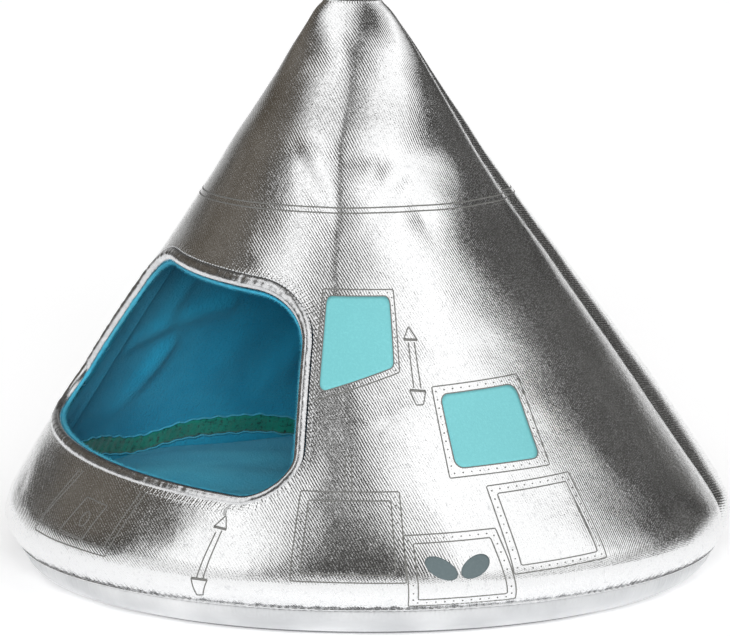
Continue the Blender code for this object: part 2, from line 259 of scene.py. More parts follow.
def foot_tuck(height):
    """How far the foot draws in towards the base seam."""
    shell = group("shell")
    drop = (shell.bulge_height - height) / (shell.bulge_height - shell.seam_height)
    return (half_width(shell.seam_height) - shell.seam_radius) * np.maximum(drop, 0.0) ** 2


def depth_share(height):
    """Depth across the ridge as a share of the width along it."""
    shell = group("shell")
    rise = shell.ridge_height - shell.flattening_height
    flattened = ease((height - shell.flattening_height) / rise)
    share = 1.0 - flattened * (1.0 - shell.ridge_half_depth / shell.ridge_half_length)
    over = np.clip((height - shell.ridge_height) / shell.ridge_roll, 0.0, 1.0)
    return share * np.sqrt(1.0 - over * over)


def lean(height):
    """Middle of the cone at a height."""
    shell = group("shell")
    share = np.maximum(height - shell.bulge_height, 0.0) / (shell.ridge_height - shell.bulge_height)
    return np.stack((shell.lean_x * share, shell.lean_y * share), axis=-1)


def bare_wall(angles, heights, inset=0.0):
    """Points of the plain cone, moved in by inset."""
    shell = group("shell")
    long = half_width(heights) - foot_tuck(heights)
    deep = np.maximum(long * depth_share(heights) - inset, 0.0)
    long = long - inset
    turn = np.radians(angles - shell.ridge_angle)
    along = (long * np.cos(turn))[:, None] * heading(shell.ridge_angle)
    across = (deep * np.sin(turn))[:, None] * heading(shell.ridge_angle + 90.0)
    return np.column_stack((lean(heights) + along + across, heights))


def unit(rows):
    """Rows of vectors, each made one long."""
    return rows / np.linalg.norm(rows, axis=1)[:, None]


SWELL_SPREAD = (0.75, 1.35)


def waves(spots, size, count, seed):
    """A random swell of about one wavelength, mostly from -1 to 1."""
    rng = np.random.default_rng(seed)
    ways = unit(rng.normal(size=(count, 3)))
    starts = rng.uniform(0.0, math.tau, count)
    sizes = size * rng.uniform(*SWELL_SPREAD, count)
    total = np.zeros(len(spots))
    for way, start, one in zip(ways, starts, sizes):
        total += np.sin(spots @ way * (math.tau / one) + start)
    return total / math.sqrt(count)


def swings(turn, parts):
    """A sum of waves round the bed: the height, number and start of each."""
    return sum(high * np.sin(turn * count + start) for high, count, start in parts)


def wide_valleys(angles, heights):
    """The wide hollows along seams and creases that the frame has too."""
    shell, folds = group("shell"), group("folds")
    foot = ease((heights - shell.seam_height) / (shell.bulge_height - shell.seam_height))
    crest = ease((shell.ridge_height - heights) / (shell.ridge_height - shell.flattening_height))
    depth = np.zeros(len(angles))
    for seam in (shell.right_seam, shell.left_seam):
        near = np.maximum(1.0 - np.abs(turn_between(angles, seam)) / folds.wide_half_angle, 0.0)
        depth += folds.wide_depth * near * near * foot * crest
    return depth


# The centre crease at some heights: its heading and its strength
CREASE_HEIGHTS = (0.080, 0.140, 0.190, 0.290, 0.330, 0.362)
CREASE_HEADINGS = (54.0, 50.0, 46.0, 45.5, 45.0, 43.0)
CREASE_SHARES = (0.0, 0.25, 0.9, 1.0, 0.7, 0.0)

# Dents: heading and height, reach across and down, turn and depth, in degrees and millimetres
DENTS = (
    (60.5, 262.0, 8.0, 16.0, -35.0, 1.5),
    (66.0, 252.0, 7.0, 20.0, -40.0, 2.3),
    (76.0, 240.0, 11.0, 16.0, 10.0, 2.4),
    (58.0, 128.0, 15.0, 6.0, 28.0, 1.0),
    (49.5, 118.0, 14.0, 30.0, 12.0, 1.0),
    (72.0, 160.0, 22.0, 5.0, 12.0, 0.6),
    (104.0, 110.0, 9.0, 12.0, -30.0, 1.2),
    (108.0, 95.0, 6.0, 16.0, -50.0, 0.9),
    (112.0, 52.0, 10.0, 9.0, 30.0, 1.0),
    (33.0, 262.0, 6.0, 22.0, 38.0, 1.1),
    (38.0, 246.0, 5.0, 16.0, 42.0, 0.8),
    (-24.0, 60.0, 12.0, 10.0, 20.0, 0.8),
    (160.0, 210.0, 10.0, 24.0, -30.0, 1.2),
    (190.0, 120.0, 14.0, 9.0, 20.0, 1.1),
    (240.0, 180.0, 9.0, 18.0, 35.0, 1.0),
    (108.0, 234.0, 27.0, 30.0, 0.0, 5.5),
    (268.0, 90.0, 13.0, 8.0, -20.0, 1.1),
)
DENT_SLOPE = 1.2
DENT_REACH = 4.0
DENT_EDGE = 1.5


def dents(angles, heights, radius):
    """Small hollows and pinched creases at their places."""
    depth = np.zeros(len(angles))
    for middle, level, across, down, turn, deep in DENTS:
        side = np.radians(turn_between(angles, middle)) * radius / MM
        rise = (heights / MM - level) * DENT_SLOPE
        near = np.abs(side) + np.abs(rise) < DENT_REACH * (across + down)
        spin = math.radians(turn)
        first = (side * math.cos(spin) + rise * math.sin(spin)) / across
        second = (rise * math.cos(spin) - side * math.sin(spin)) / down
        shape = np.exp(-np.abs(first) ** DENT_EDGE - second * second)
        depth += np.where(near, deep * MM * shape, 0.0)
    return depth


def off_hem(spots, grow):
    """Distance of spots from the entrance's outline, and how far round the nearest point is."""
    off, _, run = outline_distance(spots[:, [0, 2]], entrance_outline(grow))
    return np.where(spots[:, 1] < 0.0, off, 1.0), run


# Where folds fade out: above the foot, below the ridge and off the hem
FOOT_FADE = 0.022
CREST_FADE = 0.060
HEM_STILL = 0.004

# Seam ditches: their unevenness, what is left of them at the ridge, and where they open
DITCH_SWELL = 0.30
DITCH_SWELL_LENGTH = 0.050
DITCH_AT_RIDGE = 0.35
DITCH_OPENS_BELOW = 0.24
DITCH_OPENS_OVER = 0.12

# Heading of the crease in front and at the back, and how far each follows the table above
CREASES = ((48.0, 1.0), (228.0, 0.4))
CREASE_MIDDLE = 48.0
SWELL_AT_RIDGE = 0.3
GATHER_FADE = 0.0075
GATHER_SHARE = 0.6

# Gathers at the foot: height, share of their count and start of each wave
GATHER_PARTS = ((1.0, 1.0, 0.0), (0.6, 0.63, 1.0), (0.5, 1.31, 2.0))


def seam_ditches(angles, heights, radius, foot, crest):
    """Depth of the narrow ditches where the panels are sewn together."""
    shell, folds = group("shell"), group("folds")
    level = np.column_stack((heights, heights * 0.0, heights * 0.0))
    rough = 1.0 + DITCH_SWELL * waves(level, DITCH_SWELL_LENGTH, 6, 11)
    deep = folds.seam_depth * rough * foot * (DITCH_AT_RIDGE + (1.0 - DITCH_AT_RIDGE) * crest)
    opened = 0.5 + 0.5 * ease((DITCH_OPENS_BELOW - heights) / DITCH_OPENS_OVER)
    total = np.zeros(len(angles))
    for seam, side in ((shell.right_seam, 1.0), (shell.left_seam, -1.0)):
        away = np.radians(turn_between(angles, seam)) * radius * side
        width = np.where(away > 0.0, folds.seam_back_width * opened, folds.seam_front_width)
        total += deep * np.exp(-np.abs(away) / width)
    return total


def centre_creases(angles, heights, radius):
    """Height of the creases along which the walls fold flat."""
    folds = group("folds")
    path = np.interp(heights, CREASE_HEIGHTS, CREASE_HEADINGS) - CREASE_MIDDLE
    share = np.interp(heights, CREASE_HEIGHTS, CREASE_SHARES)
    total = np.zeros(len(angles))
    for middle, drift in CREASES:
        away = np.radians(turn_between(angles, middle + path * drift)) * radius
        away = np.hypot(away, folds.crease_round)
        total += folds.crease_rise * share * np.exp(-away / folds.crease_width)
    return total


def relief(angles, heights, spots):
    """How far the cloth stands out from the plain cone, measured level."""
    shell, folds = group("shell"), group("folds")
    middle = lean(heights)
    radius = np.hypot(spots[:, 0] - middle[:, 0], spots[:, 1] - middle[:, 1])
    foot = ease((heights - shell.seam_height) / FOOT_FADE)
    crest = ease((shell.ridge_height - heights) / CREST_FADE)
    calm = ease((off_hem(spots, HEM_EDGE)[0] - HEM_STILL) / HEM_CALM)
    out = centre_creases(angles, heights, radius) * calm
    out -= wide_valleys(angles, heights)
    out -= seam_ditches(angles, heights, radius, foot, crest)
    high = SWELL_AT_RIDGE + (1.0 - SWELL_AT_RIDGE) * crest
    out += folds.swell * waves(spots, folds.swell_length, 14, 21) * foot * high * calm
    out += folds.ripple * waves(spots, folds.ripple_length, 18, 22) * foot * calm
    parts = [(high, folds.gather_count * share, start) for high, share, start in GATHER_PARTS]
    fade = np.exp(-(heights - shell.seam_height) / GATHER_FADE)
    out += folds.gather * GATHER_SHARE * swings(np.radians(angles), parts) * fade
    return out - dents(angles, heights, radius)


def plain_form(angles, heights):
    """The cone with its wide hollows and nothing finer."""
    spots = bare_wall(angles, heights)
    spots[:, :2] -= heading(angles) * wide_valleys(angles, heights)[:, None]
    return spots


def cloth(angles, heights):
    """Points of the outer cloth, with its folds."""
    spots = bare_wall(angles, heights)
    out = relief(angles, heights, spots)
    spots[:, :2] += heading(angles) * out[:, None]
    return spots


# The least that an inset's direction counts as level, so that the peak isn't pulled far down
LEAST_LEVEL = 0.25


def normals_of(form, angles, heights, turn=0.5, rise=0.0012):
    """Outward directions of a form given by headings and heights."""
    ahead = form(angles + turn, heights) - form(angles - turn, heights)
    above = form(angles, heights + rise) - form(angles, heights - rise)
    return unit(np.cross(ahead, above))


def inner_form(angles, heights, inset):
    """The plain form moved in along its normals, as far as a level inset would."""
    normals = normals_of(plain_form, angles, heights)
    level = np.sum(normals[:, :2] * heading(angles), axis=1)
    return plain_form(angles, heights) - normals * (inset * np.maximum(level, LEAST_LEVEL))[:, None]


# Entrance outline


def rounded_outline(corners, radii, steps):
    """A closed outline whose corners are arcs."""
    points = []
    for index, (corner, radius) in enumerate(zip(corners, radii)):
        back = (corners[index - 1] - corner).normalized()
        ahead = (corners[(index + 1) % len(corners)] - corner).normalized()
        half = back.angle(ahead) / 2.0
        centre = corner + (back + ahead).normalized() * radius / math.sin(half)
        first = corner + back * radius / math.tan(half) - centre
        last = corner + ahead * radius / math.tan(half) - centre
        sweep = first.angle_signed(last)
        for step in range(steps + 1):
            points.append(centre + Matrix.Rotation(-sweep * step / steps, 2) @ first)
    return points


def entrance_outline(grow, steps=24):
    """The entrance in the XZ plane, grown outwards."""
    door = group("entrance")
    lean_angle = math.radians(door.side_lean)
    side = grow / math.cos(lean_angle)
    slope = math.tan(lean_angle)
    bottom = door.bottom_width / 2.0 + side + grow * slope
    top = door.bottom_width / 2.0 - door.height * slope + side - grow * slope
    half = door.height / 2.0 + grow
    right = [Vector((bottom, -half)), Vector((top, half))]
    left = [Vector((-top, half)), Vector((-bottom, -half))]
    low = door.bottom_rounding + grow
    high = door.top_rounding + grow
    outline = rounded_outline(right + left, [low, high, high, low], steps)
    tilt = Matrix.Rotation(math.radians(door.tilt), 2)
    centre = Vector((door.centre_x, door.centre_z))
    return np.array([centre + tilt @ point for point in outline])


def evenly(points, step, closed=True):
    """The same path with a point every step, and the distance at each."""
    points = np.asarray(points, float)
    if closed:
        points = np.vstack((points, points[:1]))
    gaps = np.linalg.norm(np.diff(points, axis=0), axis=1)
    keep = np.concatenate(([True], gaps > TINY))
    points = points[keep]
    marks = np.concatenate(([0.0], np.cumsum(gaps[gaps > TINY])))
    count = max(2, round(marks[-1] / step))
    wanted = np.linspace(0.0, marks[-1], count + 1)
    if closed:
        wanted = wanted[:-1]
    return np.column_stack([np.interp(wanted, marks, column) for column in points.T]), wanted


def inside_outline(flat, outline):
    """Which of many XZ points lie inside a closed outline."""
    x, z = flat[:, 0], flat[:, 1]
    inside = np.zeros(len(flat), bool)
    for (x0, z0), (x1, z1) in zip(outline, np.roll(outline, -1, axis=0)):
        crosses = (z0 > z) != (z1 > z)
        with np.errstate(divide="ignore", invalid="ignore"):
            at = x0 + (z - z0) * (x1 - x0) / (z1 - z0)
        inside ^= crosses & (x < at)
    return inside


HEADING_ROUNDS = 14


def front_headings(flat, form):
    """Headings at which a form's front passes through XZ points."""
    middle = lean(flat[:, 1])
    angles = np.zeros(len(flat))
    for _ in range(HEADING_ROUNDS):
        at = form(angles, flat[:, 1])
        reach = np.hypot(at[:, 0] - middle[:, 0], at[:, 1] - middle[:, 1])
        sine = np.clip((flat[:, 0] - middle[:, 0]) / reach, -1.0, 1.0)
        angles = np.degrees(np.arcsin(sine))
    return angles


def smooth_loop(values, rounds):
    """Values along a closed path, averaged with their neighbours."""
    for _ in range(rounds):
        values = (np.roll(values, 1, axis=0) + 2.0 * values + np.roll(values, -1, axis=0)) / 4.0
    return values


def steps_round(spots):
    """Steps along a closed path, from the spot before each to the one after it."""
    return np.roll(spots, -1, axis=0) - np.roll(spots, 1, axis=0)


# How far apart the forms are sampled for the hem's directions, and how often those are averaged
EDGE_SAMPLE = (1.2, 0.003)
EDGE_SMOOTHING = 8
HEM_SMOOTHING = 30


class EdgePath:
    """A path round the entrance on the cloth: spots, outward normals and sideways steps."""

    def __init__(self, grow, step):
        flat, self.marks = evenly(entrance_outline(grow), step)
        angles = front_headings(flat, plain_form)
        self.spots = plain_form(angles, flat[:, 1])
        normals = smooth_loop(normals_of(plain_form, angles, flat[:, 1], *EDGE_SAMPLE), EDGE_SMOOTHING)
        along = unit(steps_round(self.spots))
        self.normals = unit(normals - along * np.sum(normals * along, axis=1)[:, None])
        self.aside = np.cross(along, self.normals)
        centre = self.spots.mean(axis=0)
        if np.sum((self.spots - centre) * self.aside) < 0.0:
            self.aside = -self.aside
        self.length = self.marks[-1] + np.linalg.norm(self.spots[0] - self.spots[-1])

    def hem_widths(self):
        """Width of the hem at each spot."""
        door = group("entrance")
        narrower = door.hem_squeeze * np.maximum(self.aside[:, 0], 0.0)
        widths = door.hem_width + door.hem_rise * self.aside[:, 2] - narrower
        return smooth_loop(widths, HEM_SMOOTHING)


# Mesh helpers


def make_object(mesh, name=None):
    """Link a mesh as a new object at the origin, under the mesh's name or another."""
    item = bpy.data.objects.new(name or mesh.name, mesh)
    bpy.context.scene.collection.objects.link(item)
    return item


def mesh_from(name, verts, faces, smooth=True):
    """A mesh from plain arrays."""
    mesh = bpy.data.meshes.new(name)
    mesh.from_pydata([tuple(v) for v in np.asarray(verts).tolist()], [], faces)
    mesh.update()
    if smooth:
        mesh.shade_smooth()
    return mesh


def face_outwards(mesh):
    """Recalculate a closed mesh's normals."""
    bm = bmesh.new()
    bm.from_mesh(mesh)
    bmesh.ops.recalc_face_normals(bm, faces=bm.faces)
    bm.to_mesh(mesh)
    bm.free()


def settle(item):
    """Replace an object's mesh by what its modifiers make of it."""
    graph = bpy.context.evaluated_depsgraph_get()
    done = bpy.data.meshes.new_from_object(item.evaluated_get(graph), depsgraph=graph)
    item.modifiers.clear()
    old = item.data
    item.data = done
    done.name = item.name
    if old.users == 0:
        bpy.data.meshes.remove(old)


def finish(item, material, slot, nodes=()):
    """Give a piece its material and tell the frame about it."""
    if material is not None:
        item.data.materials.clear()
        item.data.materials.append(material)
    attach(item, BODY)
    if nodes:
        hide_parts(*nodes)


def strip_faces(rows, columns, closed=True, joined=False):
    """Quads between rows of spots. Closed joins the ends of each row, joined the last row to the first."""
    faces = []
    for row in range(rows if joined else rows - 1):
        low, high = row * columns, (row + 1) % rows * columns
        for column in range(columns if closed else columns - 1):
            after = (column + 1) % columns
            faces.append((low + column, low + after, high + after, high + column))
    return faces


def loop_tube(name, sections):
    """A closed tube through a closed chain of equal closed sections."""
    faces = strip_faces(len(sections), len(sections[0]), joined=True)
    mesh = mesh_from(name, np.concatenate(sections), faces)
    face_outwards(mesh)
    return mesh


def round_sections(middles, first, second, sides):
    """Cross-sections of a cord, from its middles and two half-widths at each."""
    turn = np.linspace(0.0, math.tau, sides, endpoint=False)[:, None]
    return middles[:, None] + first[:, None] * np.cos(turn) + second[:, None] * np.sin(turn)


def places(mesh):
    """Where a mesh's vertices are."""
    spots = np.zeros(len(mesh.vertices) * 3)
    mesh.vertices.foreach_get("co", spots)
    return spots.reshape(-1, 3)


def add_map(mesh, name, values):
    """A UV map from two lengths for each vertex."""
    corners = np.zeros(len(mesh.loops), np.int32)
    mesh.loops.foreach_get("vertex_index", corners)
    layer = mesh.uv_layers.new(name=name)
    layer.data.foreach_set("uv", values[corners].astype(np.float32).ravel())


# Cloth panels

WALLS = ("silver_front_cloth", "silver_back_cloth")
APEX_SHARE = 0.561
FOOT_ROWS = 20
CONE_ROWS = 112
ROLL_ROWS = 5
FRONT_COLUMNS = 286
BACK_COLUMNS = 268
HEM_EDGE = 0.0050
HEM_CALM = 0.016
OUTLINE_STEP = 0.0008
RIM_ANGLE = math.radians(60.0)
SEAM_GAP = 0.00015
SEAM_MARGIN = 1.0
LEAST_RADIUS = 0.01
INNER_LEVELS = (0.020, 0.300, 0.345, 0.362, 0.3652)
INNER_INSETS = (0.0060, 0.0060, 0.0046, 0.0026, 0.0012)


def panel_heights():
    """Levels of the outer cloth, closer together at the foot and the ridge."""
    shell = group("shell")
    foot = np.linspace(shell.seam_height, shell.bulge_height, FOOT_ROWS, endpoint=False)
    cone = np.linspace(shell.bulge_height, shell.ridge_height, CONE_ROWS, endpoint=False)
    turn = np.linspace(0.0, math.pi / 2.0, ROLL_ROWS)
    return np.concatenate((foot, cone, shell.ridge_height + shell.ridge_roll * np.sin(turn)))


def slant(heights):
    """Distance down the cloth from the cone's own apex, by level."""
    fine = np.linspace(group("shell").seam_height, group("shell").ridge_height, 400)
    widths = half_width(fine) - foot_tuck(fine)
    steps = np.hypot(np.diff(widths), np.diff(fine))
    down = np.concatenate((np.cumsum(steps[::-1])[::-1], [0.0]))
    start = group("shell").ridge_half_length / APEX_SHARE
    return start + np.interp(heights, fine, down)


def outline_distance(flat, outline):
    """Distance of XZ points from a closed outline, and how far round the nearest point is."""
    path, marks = evenly(outline, OUTLINE_STEP)
    best = np.full(len(flat), np.inf)
    where = np.zeros(len(flat), int)
    for index, spot in enumerate(path):
        gap = np.hypot(flat[:, 0] - spot[0], flat[:, 1] - spot[1])
        closer = gap < best
        best[closer] = gap[closer]
        where[closer] = index
    return best, path[where], marks[where]


def add_cloth_maps(mesh, angles, heights, middle, spots):
    """UV maps in metres: the flat cut, distance round by height, and round by off the hem."""
    down = slant(heights)
    turn = np.radians(angles - middle) * APEX_SHARE
    off, run = off_hem(spots, HEM_EDGE)
    add_map(mesh, "flat_cut", np.column_stack((down * np.sin(turn), -down * np.cos(turn))))
    around = np.radians(angles) * group("shell").seam_radius
    add_map(mesh, "round_up", np.column_stack((around, heights)))
    add_map(mesh, "hem_run", np.column_stack((run, off)))


def rim_of(faces):
    """Edges that only one face uses, as that face runs them."""
    once = {}
    for face in faces:
        for index, corner in enumerate(face):
            after = face[(index + 1) % 4]
            if (after, corner) in once:
                del once[(after, corner)]
            else:
                once[(corner, after)] = True
    return list(once)


def make_wall(name, span, columns, heights, outer, inner, mapped, seam_gap=SEAM_GAP):
    """A closed wall between two seams, open at the entrance if it spans it."""
    start, end = span
    clear = np.degrees(seam_gap / np.maximum(half_width(heights), LEAST_RADIUS))
    share = np.linspace(0.0, 1.0, columns)
    angles = ((start + clear)[:, None] + share * (end - start - 2.0 * clear)[:, None]).ravel()
    levels = np.repeat(heights, columns)
    faces = np.array(strip_faces(len(heights), columns, closed=False))
    if start < 0.0 < end:
        spots = plain_form(angles, levels)
        outline = entrance_outline(HEM_EDGE)
        centres = spots[faces].mean(axis=1)
        faces = faces[~(inside_outline(centres[:, [0, 2]], outline) & (centres[:, 1] < 0.0))]
        border = np.zeros(len(spots), bool)
        border[np.unique(rim_of(faces.tolist()))] = True
        border &= (spots[:, 1] < 0.0) & (levels > heights[1]) & (levels < heights[-2])
        border &= (angles > start + SEAM_MARGIN) & (angles < end - SEAM_MARGIN)
        _, snapped, _ = outline_distance(spots[border][:, [0, 2]], outline)
        angles[border] = front_headings(snapped, plain_form)
        levels[border] = snapped[:, 1]
    used, packed = np.unique(faces, return_inverse=True)
    faces = packed.reshape(-1, 4)
    angles, levels = angles[used], levels[used]
    count = len(used)
    outside, inside = outer(angles, levels), inner(angles, levels)
    rim = np.array(rim_of(faces.tolist()))
    side = np.column_stack((rim[:, 1], rim[:, 0], rim[:, 0] + count, rim[:, 1] + count))
    everything = np.concatenate((faces, faces[:, ::-1] + count, side)).tolist()
    mesh = mesh_from(name, np.concatenate((outside, inside)), everything)
    if mapped:
        both = np.tile(angles, 2), np.tile(levels, 2)
        add_cloth_maps(mesh, *both, (start + end) / 2.0, np.tile(outside, (2, 1)))
    mesh.set_sharp_from_angle(angle=RIM_ANGLE)
    return make_object(mesh)


def wall_spans():
    """Headings of the seams on both sides of the front and of the back panel."""
    shell = group("shell")
    return (shell.left_seam, shell.right_seam), (shell.right_seam, shell.left_seam + 360.0)


# Where rays towards the cloth start, off its middle
RAY_REACH = 0.4


class ClothSkin:
    """The finished outer cloth, to lay print and stitches on."""

    def __init__(self):
        verts, faces = [], []
        for name in WALLS:
            mesh = bpy.data.objects[name].data
            base = len(verts)
            verts += [vert.co.copy() for vert in mesh.vertices]
            faces += [[base + index for index in face.vertices] for face in mesh.polygons]
        self.tree = BVHTree.FromPolygons(verts, faces)

    def under(self, spots, lift=0.0):
        """The cloth's nearest points to spots, and its normals there."""
        found = [self.tree.find_nearest(Vector(spot))[:2] for spot in spots]
        return [spot + normal * lift for spot, normal in found], [normal for _, normal in found]

    def at(self, angle, height, lift=0.0):
        """A point on the cloth at a heading and height, and the cloth's normal there."""
        middle = lean(np.array(height))
        way = heading(angle)
        start = Vector((*(middle + way * RAY_REACH), height))
        spot, normal, _, _ = self.tree.ray_cast(start, Vector((-way[0], -way[1], 0.0)))
        if spot is None:
            raise RuntimeError(f"No cloth at heading {angle:.1f} and height {height:.4f}")
        return spot + normal * lift, normal

    def lay(self, points, lift):
        """Spots and normals on the cloth for points in degrees and millimetres."""
        found = [self.at(turn, level * MM, lift) for turn, level in points]
        return [spot for spot, _ in found], [normal for _, normal in found]


# Node helpers


class NodeWork:
    """Short hand for adding nodes to a tree and linking them."""

    def __init__(self, tree):
        self.tree = tree

    def add(self, kind, values=None, **settings):
        """A new node with its settings, and its sockets set or linked."""
        node = self.tree.nodes.new(kind)
        for key, value in settings.items():
            setattr(node, key, value)
        for key, value in (values or {}).items():
            self.put(node.inputs[key], value)
        return node

    def put(self, socket, value):
        """Set a socket, or link it if the value is another node's output."""
        if isinstance(value, bpy.types.NodeSocket):
            self.tree.links.new(value, socket)
        else:
            socket.default_value = value

    def math(self, operation, first, second=0.0):
        """The result of a sum with one or two numbers."""
        return self.add("ShaderNodeMath", {0: first, 1: second}, operation=operation).outputs[0]

    def scaled(self, vector, factor):
        """A vector or colour times a number."""
        values = {0: vector, "Scale": factor}
        return self.add("ShaderNodeVectorMath", values, operation="SCALE").outputs[0]

    def packed(self, **parts):
        """A vector from its X, Y and Z."""
        return self.add("ShaderNodeCombineXYZ", parts).outputs[0]

    def part(self, vector, axis):
        """One of a vector's X, Y and Z."""
        return self.add("ShaderNodeSeparateXYZ", {"Vector": vector}).outputs[axis]

    def noise(self, vector, scale, detail=2.0, rough=0.5, distortion=0.0):
        """Soft noise from 0 to 1."""
        node = self.add("ShaderNodeTexNoise", {
            "Vector": vector, "Scale": scale, "Detail": detail,
            "Roughness": rough, "Distortion": distortion})
        return node.outputs["Fac"]

    def ramp(self, value, low, high, first=0.0, second=1.0, **settings):
        """A value that runs from first to second while another runs from low to high."""
        node = self.add("ShaderNodeMapRange", {
            "Value": value, "From Min": low, "From Max": high,
            "To Min": first, "To Max": second}, **settings)
        return node.outputs["Result"]


class NodeBook(NodeWork):
    """Short hand for building one material's nodes."""

    def __init__(self, name):
        self.material = bpy.data.materials.new(name)
        self.material.use_nodes = True
        super().__init__(self.material.node_tree)
        self.shader = self.tree.nodes["Principled BSDF"]
        self.place = self.add("ShaderNodeTexCoord").outputs["Object"]

    def spots(self, scale, *settings):
        """Noise all over the piece."""
        return self.noise(self.place, scale, *settings)

    def mix(self, share, first, second):
        """A colour between two, each as three numbers or an output."""
        colours = [value if isinstance(value, bpy.types.NodeSocket) else (*value, 1.0)
                   for value in (first, second)]
        node = self.add("ShaderNodeMix", {0: share, 6: colours[0], 7: colours[1]}, data_type="RGBA")
        return node.outputs[2]

    def bumps(self, *layers):
        """Bumps laid over each other, each a height from 0 to 1 and its depth in metres."""
        before = {}
        for height, depth in layers:
            node = self.add("ShaderNodeBump", {
                "Height": height, "Distance": depth, "Strength": 1.0, **before})
            before = {"Normal": node.outputs["Normal"]}
        return before["Normal"]

    def uv(self, name):
        """A UV map's two lengths."""
        return self.add("ShaderNodeUVMap", uv_map=name).outputs["UV"]

    def ribs(self, vector, way, pitch, phase=0.0):
        """A sine from -1 to 1 across a flat direction."""
        turns = math.tau / pitch
        along = self.add("ShaderNodeVectorMath", {
            0: vector, 1: (way[0] * turns, way[1] * turns, 0.0)}, operation="DOT_PRODUCT")
        return self.math("SINE", self.math("ADD", along.outputs["Value"], phase))

    def finish(self, **values):
        """Set the shader's inputs and hand over the material."""
        for key, value in values.items():
            self.put(self.shader.inputs[key.replace("_", " ")], value)
        return self.material


def darker(tone, share):
    """A colour times a share."""
    return tuple(part * share for part in tone)


def foil_twill():
    """Silver foil on twill: diagonal ribs, fine cross threads, crackle and rubbed spots."""
    look = group("look")
    book = NodeBook("foil_twill")
    flat, around, hem = book.uv("flat_cut"), book.uv("round_up"), book.uv("hem_run")
    drift = book.math("MULTIPLY", book.spots(60.0), 5.0)
    ribs = book.ribs(flat, (0.809, 0.588), look.twill_pitch, drift)
    cross = book.ribs(flat, (-0.588, 0.809), look.twill_pitch * 0.62, drift)
    weave = book.math("ADD", ribs, book.math("MULTIPLY", cross, 0.35))
    grain = book.spots(1500.0, 2.0, 0.65)
    scratches = book.math("POWER", book.ramp(book.spots(420.0, 3.0, 0.6, 0.6), 0.45, 0.85), 2.0)
    crumple = book.spots(90.0, 3.0, 0.55, 0.4)
    low = book.ramp(book.part(around, "Y"), 0.021, 0.036, 1.0, 0.0)
    gathers = book.math("MULTIPLY", book.ribs(around, (1.0, 0.0), 0.0042, drift), low)
    near = book.ramp(book.part(hem, "Y"), 0.0030, 0.0075, 1.0, 0.0)
    pinch = book.math("ADD", book.ribs(hem, (1.0, 0.0), 0.0029, book.math("MULTIPLY", drift, 0.5)),
                      book.ribs(hem, (1.0, 0.25), 0.0017, drift))
    puckers = book.math("MULTIPLY", pinch, near)
    normal = book.bumps((weave, 0.000022), (puckers, 0.00003), (grain, 0.00003),
                        (scratches, 0.00010), (crumple, 0.00018), (gathers, 0.00010))
    rubbed = book.ramp(book.spots(230.0, 4.0, 0.7), 0.58, 0.78)
    tone = book.mix(rubbed, look.foil, look.foil_worn)
    tops = book.math("ADD", book.spots(1300.0, 2.0, 0.6), book.math("MULTIPLY", ribs, 0.14))
    rough = book.math("ADD", book.ramp(book.spots(35.0, 3.0), 0.3, 0.7, 0.04, 0.09),
                      book.ramp(tops, 0.59, 0.70, 0.0, 0.36))
    return book.finish(Base_Color=tone, Metallic=1.0, Roughness=rough, Normal=normal)


def foil_hem():
    """Silver foil, rolled tight and crushed by the stitches."""
    look = group("look")
    book = NodeBook("foil_hem")
    crush = book.spots(260.0, 4.0, 0.6, 0.8)
    normal = book.bumps((crush, 0.00016), (book.spots(1400.0, 2.0, 0.6), 0.00004))
    # Painted shade: the hem foil is darker in the hollows of its crush bump.
    tone = book.mix(book.ramp(crush, 0.35, 0.75), look.foil_worn, look.hem_foil)
    rough = book.ramp(book.spots(120.0), 0.3, 0.7, 0.16, 0.28)
    return book.finish(Base_Color=tone, Metallic=1.0, Roughness=rough, Normal=normal)


def foil_base():
    """Silver foil of the base: smoother, gathered at the top."""
    look = group("look")
    book = NodeBook("foil_base")
    around = book.uv("round_up")
    crumple = book.spots(26.0, 1.5, 0.45, 0.2)
    fade = book.ramp(book.part(around, "Y"), 0.011, 0.0195)
    drift = book.math("MULTIPLY", book.spots(90.0), 7.0)
    puckers = book.math("MULTIPLY", book.ribs(around, (1.0, 0.0), 0.0031, drift), fade)
    normal = book.bumps((crumple, 0.0003), (book.spots(1400.0, 2.0, 0.6), 0.00004), (puckers, 0.00012))
    # Painted shade: the base foil is darker in the hollows of its crumple bump.
    tone = book.mix(book.ramp(crumple, 0.40, 0.95), look.foil_worn, look.foil)
    return book.finish(Base_Color=tone, Metallic=1.0, Roughness=0.30, Normal=normal)


def plush(name, deep, light):
    """Short-pile plush: brushed patches, fine tufts and a soft sheen."""
    book = NodeBook(name)
    tufts = book.spots(1300.0, 3.0, 0.7)
    brushed = book.spots(16.0, 3.0, 0.55, 0.8)
    share = book.math("ADD", book.math("MULTIPLY", tufts, 0.45), book.math("MULTIPLY", brushed, 0.75))
    normal = book.bumps((book.spots(420.0, 2.0, 0.6), 0.0008), (tufts, 0.0006))
    return book.finish(Base_Color=book.mix(book.ramp(share, 0.38, 0.95), deep, light),
                       Roughness=0.92, Normal=normal, Sheen_Weight=0.20, Sheen_Roughness=0.45,
                       Sheen_Tint=(0.35, 0.80, 0.95, 1.0), Specular_IOR_Level=0.10)


def woven_tape():
    """Green woven tape with dark flecks."""
    look = group("look")
    book = NodeBook("woven_tape")
    flecks = book.ramp(book.spots(380.0, 3.0, 0.75), 0.53, 0.66)
    bright = book.mix(book.spots(45.0, 3.0), look.tape, (0.010, 0.250, 0.180))
    return book.finish(Base_Color=book.mix(flecks, bright, look.tape_fleck), Roughness=0.62,
                       Normal=book.bumps((book.spots(900.0, 2.0, 0.6), 0.0005)), Sheen_Weight=0.2)


